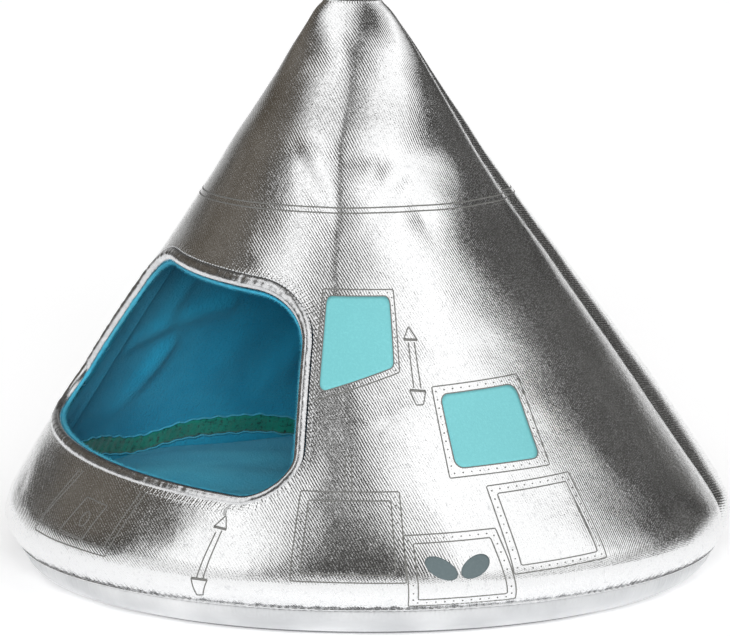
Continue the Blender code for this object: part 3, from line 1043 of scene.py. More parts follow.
def printed(name, tone, rough):
    """Ink on the foil: matt, thinly worn, with the weave showing through."""
    book = NodeBook(name)
    worn = book.ramp(book.spots(700.0, 3.0, 0.7), 0.45, 0.85, 0.0, 0.35)
    lighter = tuple(min(1.0, part * 1.35 + 0.03) for part in tone)
    return book.finish(Base_Color=book.mix(worn, tone, lighter), Roughness=rough,
                       Normal=book.bumps((book.spots(1100.0, 2.0, 0.6), 0.00012)),
                       Specular_IOR_Level=0.35)


def sewing_thread():
    """Silver-grey sewing thread."""
    tone = group("look").thread
    book = NodeBook("sewing_thread")
    fibres = book.spots(2600.0, 2.0, 0.6)
    return book.finish(Base_Color=book.mix(fibres, darker(tone, 0.55), tone), Roughness=0.5,
                       Normal=book.bumps((fibres, 0.0001)))


def underside_cloth():
    """Plain grey woven cloth."""
    tone = group("look").underside
    book = NodeBook("underside_cloth")
    weave = book.math("MULTIPLY", book.ribs(book.place, (1.0, 0.0), 0.0014),
                      book.ribs(book.place, (0.0, 1.0), 0.0014))
    dust = book.spots(25.0, 4.0, 0.6)
    return book.finish(Base_Color=book.mix(dust, darker(tone, 0.7), tone), Roughness=0.85,
                       Normal=book.bumps((weave, 0.00012)))


def soft_floor():
    """Plain pale floor."""
    stage = group("stage")
    book = NodeBook("studio_floor")
    shade = book.mix(book.spots(0.6), darker(stage.floor, 0.985), stage.floor)
    return book.finish(Base_Color=shade, Roughness=0.75, Specular_IOR_Level=0.2,
                       Emission_Color=(*stage.floor, 1.0), Emission_Strength=stage.table_glow)


def shared(builder, *values):
    """A material that several pieces share, built once under its first value's or builder's name."""
    found = bpy.data.materials.get(values[0] if values else builder.__name__)
    return found or builder(*values)


# Geometry nodes for what repeats


class TreeBook(NodeWork):
    """Short hand for building one geometry node group."""

    def __init__(self, name, sizes):
        super().__init__(bpy.data.node_groups.new(name, "GeometryNodeTree"))
        face = self.tree.interface
        face.new_socket("Geometry", in_out="INPUT", socket_type="NodeSocketGeometry")
        for label in sizes:
            face.new_socket(label, in_out="INPUT", socket_type="NodeSocketFloat")
        face.new_socket("Geometry", in_out="OUTPUT", socket_type="NodeSocketGeometry")
        self.sizes = self.tree.nodes.new("NodeGroupInput").outputs
        self.end = self.tree.nodes.new("NodeGroupOutput").inputs[0]

    def direction(self, name):
        """A vector attribute of the path."""
        return self.add("GeometryNodeInputNamedAttribute", {"Name": name},
                        data_type="FLOAT_VECTOR").outputs["Attribute"]

    def random(self, low, high, seed):
        """A random number for each point."""
        values = {2: low, 3: high, "Seed": seed}
        return self.add("FunctionNodeRandomValue", values, data_type="FLOAT").outputs[1]

    def scatter(self, points, shape, facing, turns, size, scale, material):
        """Copies of a shape on points, turned and scaled one by one, as plain faces."""
        turned = self.add("FunctionNodeEulerToRotation", {"Euler": turns})
        placed = self.add("FunctionNodeRotateRotation", {
            "Rotation": facing, "Rotate By": turned.outputs[0]}, rotation_space="LOCAL")
        copies = self.add("GeometryNodeInstanceOnPoints", {
            "Points": points, "Instance": shape, "Rotation": placed.outputs[0],
            "Scale": self.scaled(size, scale)})
        real = self.add("GeometryNodeRealizeInstances", {"Geometry": copies.outputs[0]})
        done = self.add("GeometryNodeSetMaterial", {"Geometry": real.outputs[0], "Material": material})
        self.put(self.end, done.outputs[0])
        return self.tree


def row_tree(material, seed):
    """Beads, stitches or dots along a path, each laid along it and facing off the cloth."""
    book = TreeBook("row_of_" + material.name, ("Pitch", "Length", "Width", "Height", "Slant"))
    sizes = book.sizes
    curve = book.add("GeometryNodeMeshToCurve", {"Mesh": sizes["Geometry"]})
    points = book.add("GeometryNodeResampleCurve", {
        "Curve": curve.outputs[0], "Length": sizes["Pitch"]}, mode="LENGTH")
    tangent = book.add("GeometryNodeInputTangent").outputs[0]
    along = book.add("FunctionNodeAlignRotationToVector", {"Vector": tangent}, axis="X")
    faced = book.add("FunctionNodeAlignRotationToVector", {
        "Rotation": along.outputs[0], "Vector": book.direction("off_cloth")},
        axis="Z", pivot_axis="X")
    wobble = book.math("ADD", book.random(-0.12, 0.12, seed), sizes["Slant"])
    size = book.packed(X=sizes["Length"], Y=sizes["Width"], Z=sizes["Height"])
    bead = book.add("GeometryNodeMeshUVSphere", {"Segments": 8, "Rings": 5, "Radius": 0.5})
    return book.scatter(points.outputs[0], bead.outputs[0], faced.outputs[0], book.packed(Z=wobble),
                        size, book.random(0.85, 1.12, seed + 1), material)


def pile_tree(material, seed):
    """Short bent-over fibres all over a surface."""
    book = TreeBook("pile_of_" + material.name, ("Density", "Fibre Length", "Fibre Radius"))
    sizes = book.sizes
    spread = book.add("GeometryNodeDistributePointsOnFaces", {
        "Mesh": sizes["Geometry"], "Density": sizes["Density"], "Seed": seed})
    fibre = book.add("GeometryNodeMeshCone", {
        "Vertices": 3, "Side Segments": 1, "Fill Segments": 1, "Radius Top": 0.12,
        "Radius Bottom": 1.0, "Depth": 1.0})
    tilt = book.packed(X=book.random(-0.9, 0.9, seed + 1), Y=book.random(-0.9, 0.9, seed + 2),
                       Z=book.random(0.0, 6.28, seed + 3))
    size = book.packed(X=sizes["Fibre Radius"], Y=sizes["Fibre Radius"], Z=sizes["Fibre Length"])
    return book.scatter(spread.outputs["Points"], fibre.outputs[0], spread.outputs["Rotation"], tilt,
                        size, book.random(0.5, 1.25, seed + 4), material)


def run_tree(name, mesh, tree, **sizes):
    """A new object made from a path or surface by a node group, as a plain mesh."""
    item = make_object(mesh, name)
    modifier = item.modifiers.new("row", "NODES")
    modifier.node_group = tree
    for socket in tree.interface.items_tree:
        key = socket.name.lower().replace(" ", "_")
        if socket.in_out == "INPUT" and key in sizes:
            modifier[socket.identifier] = float(sizes[key])
    settle(item)
    if not item.data.polygons:
        raise RuntimeError(f"{name}: the node group made nothing")
    return item


def path_mesh(name, paths):
    """Edges along several paths, each a list of spots, a list of normals and whether it closes."""
    verts, edges, ways = [], [], []
    for spots, normals, closed in paths:
        base = len(verts)
        verts += [tuple(spot) for spot in spots]
        ways += [tuple(normal) for normal in normals]
        edges += [(base + i, base + i + 1) for i in range(len(spots) - 1)]
        if closed:
            edges.append((base + len(spots) - 1, base))
    mesh = bpy.data.meshes.new(name)
    mesh.from_pydata(verts, edges, [])
    layer = mesh.attributes.new("off_cloth", "FLOAT_VECTOR", "POINT")
    layer.data.foreach_set("vector", np.array(ways, np.float32).ravel())
    mesh.update()
    return mesh


# Print, in degrees round the bed and millimetres up

# Frames: corners, gap between the outer and the inner line, and rounding of the inner one
FRAMES = {
    "window_1": (((43.0, 199.0), (61.9, 198.6), (61.0, 152.8), (42.8, 136.8)), 3.6, 4.0),
    "window_2": (((67.4, 144.2), (87.3, 148.0), (86.7, 97.4), (67.6, 94.4)), 4.6, 5.0),
    "panel_a": (((42.2, 88.5), (58.6, 88.5), (58.6, 38.4), (41.5, 38.8)), 4.8, 0.6),
    "panel_b": (((58.5, 64.9), (73.5, 66.2), (76.0, 23.6), (59.1, 22.4)), 4.6, 0.6),
    "panel_c": (((73.7, 89.0), (90.0, 92.3), (91.6, 43.0), (75.2, 39.8)), 4.6, 0.6),
}
FRAME_ROUNDING = 0.5
WINDOWS = ("window_1", "window_2")
MIRRORED = ("window_2", "panel_b", "panel_c")

# Ovals: heading and height of the middle, width, height and slope
OVALS = ((63.9, 46.2, 18.3, 10.4, -40.4), (69.15, 46.3, 17.1, 10.8, 39.6))
STRUTS = (
    ((62.8, 170.9), (64.4, 178.0), (66.0, 170.4)), ((63.6, 144.0), (63.8, 169.2)),
    ((65.1, 143.6), (65.2, 169.2)), ((62.7, 142.9), (63.6, 134.6), (65.1, 134.6), (66.0, 142.0)),
)
STRUT_BANDS = (((62.8, 170.9), (66.0, 170.4)), ((62.7, 142.9), (66.0, 142.0)))
SIDE_STRUT = (
    ((28.5, 66.2), (30.2, 72.7), (30.7, 65.2)), ((26.8, 36.4), (29.0, 63.0)),
    ((27.9, 36.5), (30.0, 64.4)), ((25.9, 36.0), (26.1, 24.5), (27.2, 25.0), (28.6, 35.8)),
)
SIDE_BANDS = (((28.5, 66.2), (30.7, 65.2)), ((25.9, 36.0), (28.6, 35.8)))
RODS = (((49.6, 107.5), (49.6, 87.5)), ((50.7, 107.5), (50.7, 87.5)), ((49.6, 107.5), (50.7, 107.5)))
HATCH_OUTER = ((14.0, 79.7), (9.8, 41.0), (-10.1, 44.4), (-4.6, 84.0))
HATCH_INNER = ((12.9, 79.8), (9.3, 46.3), (-8.9, 50.3), (-3.2, 83.7))
PLATE = ((1.4, 71.2), (7.0, 69.0), (4.1, 48.0), (-1.9, 50.2))
PLATE_OVAL = (3.1, 59.4, 9.0, 5.5, 70.0)

# Metric of the print: a degree counts as this many millimetres
MM_PER_DEGREE = 3.2
CORNER_STEPS = 6
BAND_WIDTH = 2.2
RING_WIDTH = 1.2
PANE_GAP = 0.2
PANE_STEP = 2.0
PANE_RINGS = 12
PANE_LIFT = 0.7
OVAL_LIFT = 0.8
INK_ROUGHNESS = 0.45

# Depth of the print as shares of its lift: of a line, and of a patch at its edge and middle
PRINT_DEPTH = 1.6
EDGE_SINK = 0.5
MIDDLE_SINK = 4.0


def flattened(points):
    """Print points as flat millimetres."""
    return [(turn * MM_PER_DEGREE, level) for turn, level in points]


def wrapped(points):
    """Flat millimetres as print points."""
    return [(across / MM_PER_DEGREE, level) for across, level in points]


def round_corners(corners, radius):
    """Corners in degrees and millimetres, rounded by a radius in millimetres."""
    flat = [Vector(point) for point in flattened(corners)]
    return wrapped(rounded_outline(flat, [radius] * len(flat), CORNER_STEPS))


def draw_in(corners, distance):
    """Corners of a closed outline moved in by a distance in millimetres."""
    flat = [Vector(point) for point in flattened(corners)]
    moved = []
    for index, corner in enumerate(flat):
        back = (flat[index - 1] - corner).normalized()
        ahead = (flat[(index + 1) % len(flat)] - corner).normalized()
        reach = distance / math.sin(back.angle(ahead) / 2.0)
        moved.append(corner + (back + ahead).normalized() * reach)
    return wrapped(moved)


def oval(turn, level, wide, tall, slope, steps=40):
    """A tilted oval in degrees and millimetres."""
    spin = math.radians(slope)
    points = []
    for angle in np.linspace(0.0, math.tau, steps, endpoint=False):
        x, y = wide / 2.0 * math.cos(angle), tall / 2.0 * math.sin(angle)
        across = x * math.cos(spin) - y * math.sin(spin)
        up = x * math.sin(spin) + y * math.cos(spin)
        points.append((turn + across / MM_PER_DEGREE, level + up))
    return points


def mirrored(points):
    """The same print on the other side of the entrance."""
    return [(360.0 - turn, level) for turn, level in points][::-1]


def on_its_sides(name, outline):
    """A frame's outline, with its mirror image if the bed has that too."""
    return [outline] + ([mirrored(outline)] if name in MIRRORED else [])


def spaced(points, closed, step=1.3):
    """A print path with a point every millimetre or so."""
    return wrapped(evenly(flattened(points), step, closed)[0])


def ring_points(level, count=420):
    """A ring round the bed, already evenly spaced."""
    return [(360.0 * step / count, level) for step in range(count)]


def print_paths():
    """Every printed line with a point every millimetre, whether it closes and how wide it is."""
    art = group("print")
    lines = []
    for name, (corners, gap, rounding) in FRAMES.items():
        outer = round_corners(corners, FRAME_ROUNDING)
        inner = round_corners(draw_in(corners, gap), rounding)
        for outline in (outer, inner):
            lines += [(side, True, 1.0) for side in on_its_sides(name, outline)]
    for part, width in ((STRUTS, 1.0), (STRUT_BANDS, BAND_WIDTH)):
        for points in part:
            lines += [(points, False, width), (mirrored(points), False, width)]
    for part, width in ((SIDE_STRUT, 1.0), (SIDE_BANDS, BAND_WIDTH), (RODS, 1.0)):
        lines += [(points, False, width) for points in part]
    lines += [(HATCH_OUTER, False, 1.0), (HATCH_INNER, False, 1.0), (PLATE, True, 1.0)]
    lines.append((oval(*PLATE_OVAL), True, 1.0))
    lines = [(spaced(points, closed), closed, width) for points, closed, width in lines]
    level, half = art.ring_height / MM, art.ring_gap / MM / 2.0
    lines += [(ring_points(level + side), True, RING_WIDTH) for side in (half, -half)]
    return lines


def ribbon(skin, points, closed, width, lift):
    """Verts and faces of a thin closed strip laid on the cloth."""
    spots, normals = map(np.array, skin.lay(points, lift))
    ahead = steps_round(spots)
    if not closed:
        ahead[0], ahead[-1] = spots[1] - spots[0], spots[-1] - spots[-2]
    aside = unit(np.cross(ahead, normals)) * (width / 2.0)
    deep = normals * (lift * PRINT_DEPTH)
    rings = np.stack((spots - aside, spots + aside, spots + aside - deep, spots - aside - deep), 1)
    faces = strip_faces(len(points), 4, joined=closed)
    if not closed:
        faces += [(3, 2, 1, 0), tuple(range(len(points) * 4 - 4, len(points) * 4))]
    return rings.reshape(-1, 3), faces


def patch(skin, outline, lift, rings=7):
    """Verts and faces of a thin filled patch laid on the cloth, round a closed outline."""
    outline = np.array(outline)
    middle, count = outline.mean(axis=0), len(outline)
    shares = np.linspace(1.0, 0.0, rings, endpoint=False)
    points = [point for share in shares for point in middle + (outline - middle) * share]
    verts = skin.lay([*points, middle], lift)[0]
    verts += skin.lay(outline, -lift * EDGE_SINK)[0] + skin.lay([middle], -lift * MIDDLE_SINK)[0]
    last, top, base = (rings - 1) * count, rings * count, rings * count + 1
    faces = strip_faces(rings, count)
    faces += [(last + index, last + (index + 1) % count, top) for index in range(count)]
    for index in range(count):
        after = (index + 1) % count
        faces.append((after, index, base + index, base + after))
        faces.append((base + after, base + index, base + count))
    return np.array([tuple(vert) for vert in verts]), faces


def gather_parts(name, parts):
    """One closed mesh from several."""
    verts, faces, base = [], [], 0
    for more, patterns in parts:
        verts.append(more)
        faces += [tuple(base + index for index in face) for face in patterns]
        base += len(more)
    mesh = mesh_from(name, np.concatenate(verts), faces)
    face_outwards(mesh)
    return mesh


# Operators, one for each piece or group of like pieces


class BED_OT_walls(Operator):
    """Padded silver walls, front and back"""

    bl_idname = "bed.walls"
    bl_label = "Walls"

    def execute(self, context):
        def inner(angles, levels):
            return inner_form(angles, levels, np.interp(levels, INNER_LEVELS, INNER_INSETS))

        for name, span, columns, nodes in zip(
                WALLS, wall_spans(), (FRONT_COLUMNS, BACK_COLUMNS),
                (("outer_front_left_panel", "outer_front_right_panel"),
                 ("outer_back_right_panel", "outer_back_left_panel"))):
            item = make_wall(name, span, columns, panel_heights(), cloth, inner, True)
            finish(item, shared(foil_twill), "silver_cloth", nodes)
        return {"FINISHED"}


# Cross-section of the hem, aside and off the cloth in millimetres, for a hem 10 mm wide
HEM_PROFILE = (
    (5.0, -1.3), (4.9, -0.5), (4.4, 0.05), (3.5, 0.6), (2.4, 0.95), (1.0, 1.2), (-0.6, 1.25),
    (-2.2, 0.95), (-3.5, 0.3), (-4.4, -0.7), (-4.9, -2.0), (-5.0, -3.4), (-4.6, -5.0),
    (-3.6, -6.3), (-2.0, -7.2), (0.0, -7.6), (1.8, -7.6), (3.4, -7.3), (4.5, -6.6),
    (5.0, -5.4), (5.0, -4.2), (5.0, -2.8),
)
PROFILE_WIDTH = 10.0
LUMP_COUNTS = (37, 52, 71, 96, 133)
LUMP_RISE = 0.00010
LUMP_MIDDLE = -0.5
LUMP_REACH = 4.5
PINCH_DEPTH = 0.00040
PINCH_FROM = 1.0
PINCH_OVER = 3.9
FRONT_FROM = -2.0


def hem_sections(path, pitch):
    """Cross-sections of the rolled hem, lumpy inside and pinched by its stitches."""
    aside, deep = np.array(HEM_PROFILE).T
    turn = math.tau * path.marks / path.length
    lumps = np.zeros(len(turn))
    rng = np.random.default_rng(31)
    for count in LUMP_COUNTS:
        lumps += np.sin(turn * count + rng.uniform(0, 6.28)) * rng.uniform(0.5, 1.0)
    pinch = 0.5 + 0.5 * np.cos(turn * round(path.length / pitch))
    outer = np.clip((aside - PINCH_FROM) / PINCH_OVER, 0.0, 1.0) * (deep > FRONT_FROM)
    front = np.clip(1.0 - np.abs(aside - LUMP_MIDDLE) / LUMP_REACH, 0.0, 1.0) * (deep > FRONT_FROM)
    rise = np.outer(LUMP_RISE * lumps, front) - np.outer(PINCH_DEPTH * pinch, outer)
    reach = np.outer(path.hem_widths(), aside / PROFILE_WIDTH + 0.5)
    rows = path.spots[:, None] + path.aside[:, None] * reach[..., None]
    return rows + path.normals[:, None] * (deep * MM + rise)[..., None]


class BED_OT_hem(Operator):
    """Rolled silver hem round the entrance"""

    bl_idname = "bed.hem"
    bl_label = "Entrance Hem"

    def execute(self, context):
        pitch = group("entrance").stitch_pitch
        item = make_object(loop_tube("entrance_hem_roll", hem_sections(EdgePath(0.0, pitch / 3.0), pitch)))
        finish(item, shared(foil_hem), "silver_hem", ("entrance_hem",))
        return {"FINISHED"}


LINING_LOW = 0.0205
LINING_BEND = 0.062
LINING_COLUMNS = 150
LINING_GAP = 0.00001


def lining_heights():
    """Levels of the lining, up to where it closes."""
    low = np.linspace(LINING_LOW, LINING_BEND, 14, endpoint=False)
    high = np.linspace(LINING_BEND, group("inside").lining_top, 78)
    return np.concatenate((low, high))


# Folds of the lining: heading and height of both ends, reach and rise in millimetres
LINING_FOLDS = (
    (268.0, 152.0, 298.0, 136.0, 7.0, 4.5), (282.0, 126.0, 290.0, 62.0, 8.0, 5.0),
    (246.0, 124.0, 254.0, 70.0, 9.0, 5.0), (284.0, 190.0, 288.0, 150.0, 10.0, 3.0),
    (262.0, 118.0, 266.0, 84.0, 14.0, 2.5), (205.0, 150.0, 214.0, 75.0, 10.0, 4.0),
    (170.0, 130.0, 176.0, 70.0, 9.0, 3.5), (318.0, 150.0, 312.0, 80.0, 9.0, 3.0),
)
LINING_REACH = 2.9


def lining_ridges(angles, heights):
    """Soft folds that run along lines in the lining."""
    spots = np.column_stack((angles * LINING_REACH, heights / MM))
    total = np.zeros(len(angles))
    for turn_0, level_0, turn_1, level_1, reach, rise in LINING_FOLDS:
        start = np.array((turn_0 * LINING_REACH, level_0))
        along = np.array((turn_1 * LINING_REACH, level_1)) - start
        for lap in (0.0, -360.0 * LINING_REACH, 360.0 * LINING_REACH):
            away = spots - start - np.array((lap, 0.0))
            share = np.clip(away @ along / (along @ along), 0.0, 1.0)
            off = np.linalg.norm(away - share[:, None] * along, axis=1)
            total += rise * MM * np.exp(-((off / reach) ** 2))
    return total


def inwards(spots, heights):
    """Level unit vectors from spots to the cone's middle."""
    return unit(np.column_stack((lean(heights) - spots[:, :2], np.zeros(len(spots)))))


FOLDS_ABOVE = 0.066
FOLDS_OVER = 0.050
FOLDS_BELOW_TOP = 0.02
FOLDS_TOP_OVER = 0.080
FOLDS_OFF_HEM = 0.03
FOLD_SHARE = 0.6
SMALL_FOLD_SHARE = 0.2
SMALL_FOLD_LENGTH = 0.4


def lining_face(angles, heights):
    """The plush side of the lining, with soft folds that stand into the den."""
    inside = group("inside")
    spots = inner_form(angles, heights, inside.lining_inset + inside.lining_thickness)
    fade = ease((heights - FOLDS_ABOVE) / FOLDS_OVER)
    fade = fade * ease((inside.lining_top - FOLDS_BELOW_TOP - heights) / FOLDS_TOP_OVER)
    fade = fade * ease(off_hem(spots, HEM_EDGE)[0] / FOLDS_OFF_HEM)
    fold = 0.5 + 0.5 * np.clip(waves(spots, inside.fold_length, 12, 41), -1.0, 1.0)
    small = 0.5 + 0.5 * np.clip(waves(spots, inside.fold_length * SMALL_FOLD_LENGTH, 12, 42), -1.0, 1.0)
    rise = inside.fold * (FOLD_SHARE * fold + SMALL_FOLD_SHARE * small)
    rise = rise + lining_ridges(angles, heights)
    return spots + inwards(spots, heights) * (rise * fade)[:, None]


class BED_OT_lining(Operator):
    """Plush lining of the den, front and back"""

    bl_idname = "bed.lining"
    bl_label = "Lining"

    def execute(self, context):
        look, inset = group("look"), group("inside").lining_inset

        def behind(angles, levels):
            return inner_form(angles, levels, inset)

        for name, span, node in zip(("den_lining_front", "den_lining_back"), wall_spans(),
                                    ("lining_front_panel", "lining_back_panel")):
            item = make_wall(name, span, LINING_COLUMNS, lining_heights(), behind, lining_face,
                             False, LINING_GAP)
            pile = shared(plush, "den_plush", look.plush_deep, look.plush_light)
            finish(item, pile, "teal_plush", (node,))
        return {"FINISHED"}


def turned_mesh(name, profile, count, ripple=None):
    """A closed turned body from a profile that starts and ends on the axis."""
    turn = np.linspace(0.0, math.tau, count, endpoint=False)
    rings = []
    for radius, height in profile[1:-1]:
        reach = radius + (ripple(turn, radius, height) if ripple else np.zeros(count))
        rings.append(np.column_stack((reach * np.sin(turn), -reach * np.cos(turn), np.full(count, height))))
    ends = np.array([(0.0, 0.0, profile[0][1]), (0.0, 0.0, profile[-1][1])])
    verts = np.concatenate((*rings, ends))
    faces = strip_faces(len(rings), count)
    low, high, last = len(verts) - 2, len(verts) - 1, (len(rings) - 1) * count
    for index in range(count):
        after = (index + 1) % count
        faces.append((low, after, index))
        faces.append((high, last + index, last + after))
    mesh = mesh_from(name, verts, faces)
    face_outwards(mesh)
    return mesh


# Base pad: radii of the rings on its flat faces, and its gathers under the seam
PAD_COLUMNS = 1080
PAD_SIDE_STEPS = 14
PAD_CLEAR = 0.0002
PAD_TOP_RADII = (0.15, 0.08, 0.03)
PAD_TOP_MARGIN = 0.004
PAD_FLOOR_RADII = (0.03, 0.09, 0.16, 0.19)
PAD_GATHERS_FROM = 0.004
PAD_GATHERS_OVER = 0.012
PAD_GATHER = 0.00016
PAD_GATHER_MIDDLE = 2.4
PAD_GATHER_PARTS = ((1.0, 1.0, 0.0), (0.6, 0.63, 1.0), (0.8, 2.0, 0.5))
PAD_SWAY = 0.0002
PAD_SWAYS = ((1.0, 9, 0.4), (0.7, 23, 2.0))

# Gathered seam above the base
WELT_COLUMNS = 1200
WELT_STITCHES = 300
WELT_RADIUS = 0.00105
WELT_PINCH = 0.00035
WELT_OUT = 0.0009
WELT_UP = 0.00025


def pad_profile():
    """Half the outline of the base pad, from the axis below to the axis above."""
    low, high, inner = BASE_LOW[2], BASE_HIGH[2], UNDER_HIGH[0]
    outer = group("shell").seam_radius
    profile = [(0.0, low)] + [(radius, low) for radius in PAD_FLOOR_RADII]
    for step in range(PAD_SIDE_STEPS + 1):
        turn = math.radians(90.0 * step / PAD_SIDE_STEPS)
        radius = inner + (outer - inner) * math.sin(turn)
        profile.append((radius - PAD_CLEAR, high - (high - low) * math.cos(turn)))
    return profile + [(radius, high) for radius in (outer - PAD_TOP_MARGIN, *PAD_TOP_RADII, 0.0)]


def pad_gathers(turn, radius, height):
    """How far the base's side moves out at each heading."""
    count = group("folds").gather_count
    share = 0.0
    if radius > UNDER_HIGH[0]:
        share = ease((height - BASE_LOW[2] - PAD_GATHERS_FROM) / PAD_GATHERS_OVER)
    swing = swings(turn, [(high, round(count * part), start) for high, part, start in PAD_GATHER_PARTS])
    sway = 1.0 + 0.5 * swings(turn, PAD_SWAYS)
    return -share * PAD_GATHER * (PAD_GATHER_MIDDLE + swing) - PAD_SWAY * sway


class BED_OT_base(Operator):
    """Padded silver base and the gathered seam above it"""

    bl_idname = "bed.base"
    bl_label = "Base"

    def execute(self, context):
        radius = group("shell").seam_radius
        pad = make_object(turned_mesh("base_pad", pad_profile(), PAD_COLUMNS, pad_gathers))
        spots = places(pad.data)
        around = np.arctan2(spots[:, 0], -spots[:, 1]) * radius
        add_map(pad.data, "round_up", np.column_stack((around, spots[:, 2])))
        finish(pad, shared(foil_base), "silver_cloth", ("base_cover",))
        turn = np.linspace(0.0, math.tau, WELT_COLUMNS, endpoint=False)
        size = WELT_RADIUS - WELT_PINCH * (0.5 + 0.5 * np.cos(turn * WELT_STITCHES))
        ways = np.column_stack((np.sin(turn), -np.cos(turn), turn * 0.0))
        up = np.array((0.0, 0.0, 1.0))
        middles = ways * (radius + WELT_OUT) + up * (BASE_HIGH[2] + WELT_UP)
        sections = round_sections(middles, ways * size[:, None], up * size[:, None], 8)
        welt = make_object(loop_tube("base_seam_roll", sections))
        finish(welt, shared(foil_hem), "silver_hem", ("base_seam_welt",))
        return {"FINISHED"}


class BED_OT_underside(Operator):
    """Plain cloth that the bed stands on"""

    bl_idname = "bed.underside"
    bl_label = "Underside"

    def execute(self, context):
        radius, top = UNDER_HIGH[0], UNDER_HIGH[2]
        profile = [(0.0, 0.0001), (0.05, 0.00005), (0.12, 0.00005), (radius - 0.006, 0.00002),
                   (radius - 0.001, 0.0001), (radius - 0.0002, 0.0005), (radius - 0.0006, top - 0.0002),
                   (radius - 0.003, top - 0.00005), (0.12, top - 0.0001), (0.05, top - 0.0001),
                   (0.0, top - 0.0001)]
        item = make_object(turned_mesh("underside_cloth", profile, 360))
        finish(item, shared(underside_cloth), "grey_underside", ("underside_panel",))
        return {"FINISHED"}


# Floor cushion: cloth settings, how far it may move, and its shape before and after
CUSHION_VOXEL = 0.0052
CUSHION_STEPS = 20
CUSHION_REACH = 0.004
CUSHION_SHRINK = 0.994
CUSHION_FLATTEN = 0.93
CUSHION_HELD_RIM = 0.009
CUSHION_HELD_BELOW = 0.004
CUSHION_SWELL = 0.0013
CUSHION_SWELL_LENGTH = 0.085
CUSHION_SINK = 0.0008
CUSHION_SLUMP = 0.0070
CUSHION_SLUMP_FROM = 0.150
CUSHION_SLUMP_OVER = 0.065
CUSHION_TOP_OVER = 0.006
CUSHION_CLOTH = {
    "quality": 6, "mass": 0.25, "use_pressure": True, "uniform_pressure_force": 4.0,
    "vertex_group_mass": "edge", "tension_stiffness": 18.0, "compression_stiffness": 8.0,
    "shear_stiffness": 8.0, "bending_stiffness": 0.6,
}


def blow_up(item, held):
    """Run the cloth simulation on a closed mesh whose held vertices stay."""
    item.vertex_groups.new(name="edge").add(held.tolist(), 1.0, "REPLACE")
    settings = item.modifiers.new("blow", "CLOTH").settings
    for key, value in CUSHION_CLOTH.items():
        setattr(settings, key, value)
    settings.effector_weights.gravity = 0.0
    for step in range(1, CUSHION_STEPS + 1):
        bpy.context.scene.frame_set(step)
    settle(item)
    bpy.context.scene.frame_set(1)


class BED_OT_cushion(Operator):
    """Plush floor cushion, blown up by cloth simulation"""

    bl_idname = "bed.cushion"
    bl_label = "Floor Cushion"

    def execute(self, context):
        look = group("look")
        item = make_object(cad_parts["floor_cushion"].data.copy(), "floor_pad")
        bm = bmesh.new()
        bm.from_mesh(item.data)
        bmesh.ops.remove_doubles(bm, verts=bm.verts, dist=WELD)
        bmesh.ops.recalc_face_normals(bm, faces=bm.faces)
        bm.to_mesh(item.data)
        bm.free()
        remesh = item.modifiers.new("even", "REMESH")
        remesh.mode = "VOXEL"
        remesh.voxel_size = CUSHION_VOXEL
        settle(item)
        start = places(item.data)
        middle = start.mean(axis=0)[2]
        radius = np.hypot(start[:, 0], start[:, 1])
        shrunk = start.copy()
        shrunk[:, :2] *= CUSHION_SHRINK
        shrunk[:, 2] = middle + (start[:, 2] - middle) * CUSHION_FLATTEN
        item.data.vertices.foreach_set("co", shrunk.ravel())
        rim = radius > radius.max() - CUSHION_HELD_RIM
        blow_up(item, np.flatnonzero(rim | (start[:, 2] < middle - CUSHION_HELD_BELOW)))
        moved = places(item.data) - shrunk
        size = np.linalg.norm(moved, axis=1)
        after = shrunk + moved * np.minimum(1.0, CUSHION_REACH / np.maximum(size, TINY))[:, None]
        above = ease((after[:, 2] - middle) / CUSHION_TOP_OVER)
        soft = CUSHION_SWELL * waves(after, CUSHION_SWELL_LENGTH, 10, 51)
        out = np.hypot(after[:, 0], after[:, 1]) - CUSHION_SLUMP_FROM
        slump = CUSHION_SLUMP * ease(out / CUSHION_SLUMP_OVER)
        after[:, 2] += (soft - CUSHION_SINK - slump) * above
        after[:, 2] = np.maximum(after[:, 2], start[:, 2].min())
        item.data.vertices.foreach_set("co", after.ravel())
        item.data.update()
        smooth = item.modifiers.new("smooth", "SUBSURF")
        smooth.levels = smooth.render_levels = 1
        settle(item)
        item.data.shade_smooth()
        # Painted light: the lining's plush colours, painted lighter for the floor cushion.
        pile = shared(plush, "floor_plush", look.floor_deep, look.floor_light)
        finish(item, pile, "teal_plush", ("floor_cushion",))
        return {"FINISHED"}


# Floor tape: how it wanders, and its lift off the lining
TAPE_COLUMNS = 900
TAPE_ROWS = 9
TAPE_START = math.radians(100.0)
TAPE_LOBES = 10
TAPE_FRILLS = ((0.00045, 131, 1.2), (0.0003, 83, 0.0))
TAPE_PUCKER = 0.00018
TAPE_PUCKERS = 170
TAPE_LIFT = 0.0003
EDGING_LIFT = 0.0011
EDGING_RADIUS = 0.00065
EDGING_SIDES = 6


def tape_rows():
    """Rows along the tape: spots on the lining, inward directions and heights off it."""
    inside = group("inside")
    angles = np.linspace(0.0, 360.0, TAPE_COLUMNS, endpoint=False)
    turn = np.radians(angles)
    start = turn + TAPE_START
    drift = np.cos(start * TAPE_LOBES) - 0.3 * np.cos(start * TAPE_LOBES * 2) + 0.25 * np.sin(turn * 3)
    levels = inside.tape_height + inside.tape_wave * drift
    rows = []
    for share in np.linspace(-1.0, 1.0, TAPE_ROWS):
        frill = swings(turn, [(high, count, share * late) for high, count, late in TAPE_FRILLS])
        height = levels + share * (inside.tape_width / 2.0 + frill * abs(share))
        wall = lining_face(angles, height)
        bow = TAPE_LIFT + inside.tape_thickness * math.sqrt(max(0.0, 1.0 - share ** 4))
        pucker = TAPE_PUCKER * np.sin(turn * TAPE_PUCKERS + share)
        rows.append((wall, inwards(wall, height), bow + pucker))
    return rows


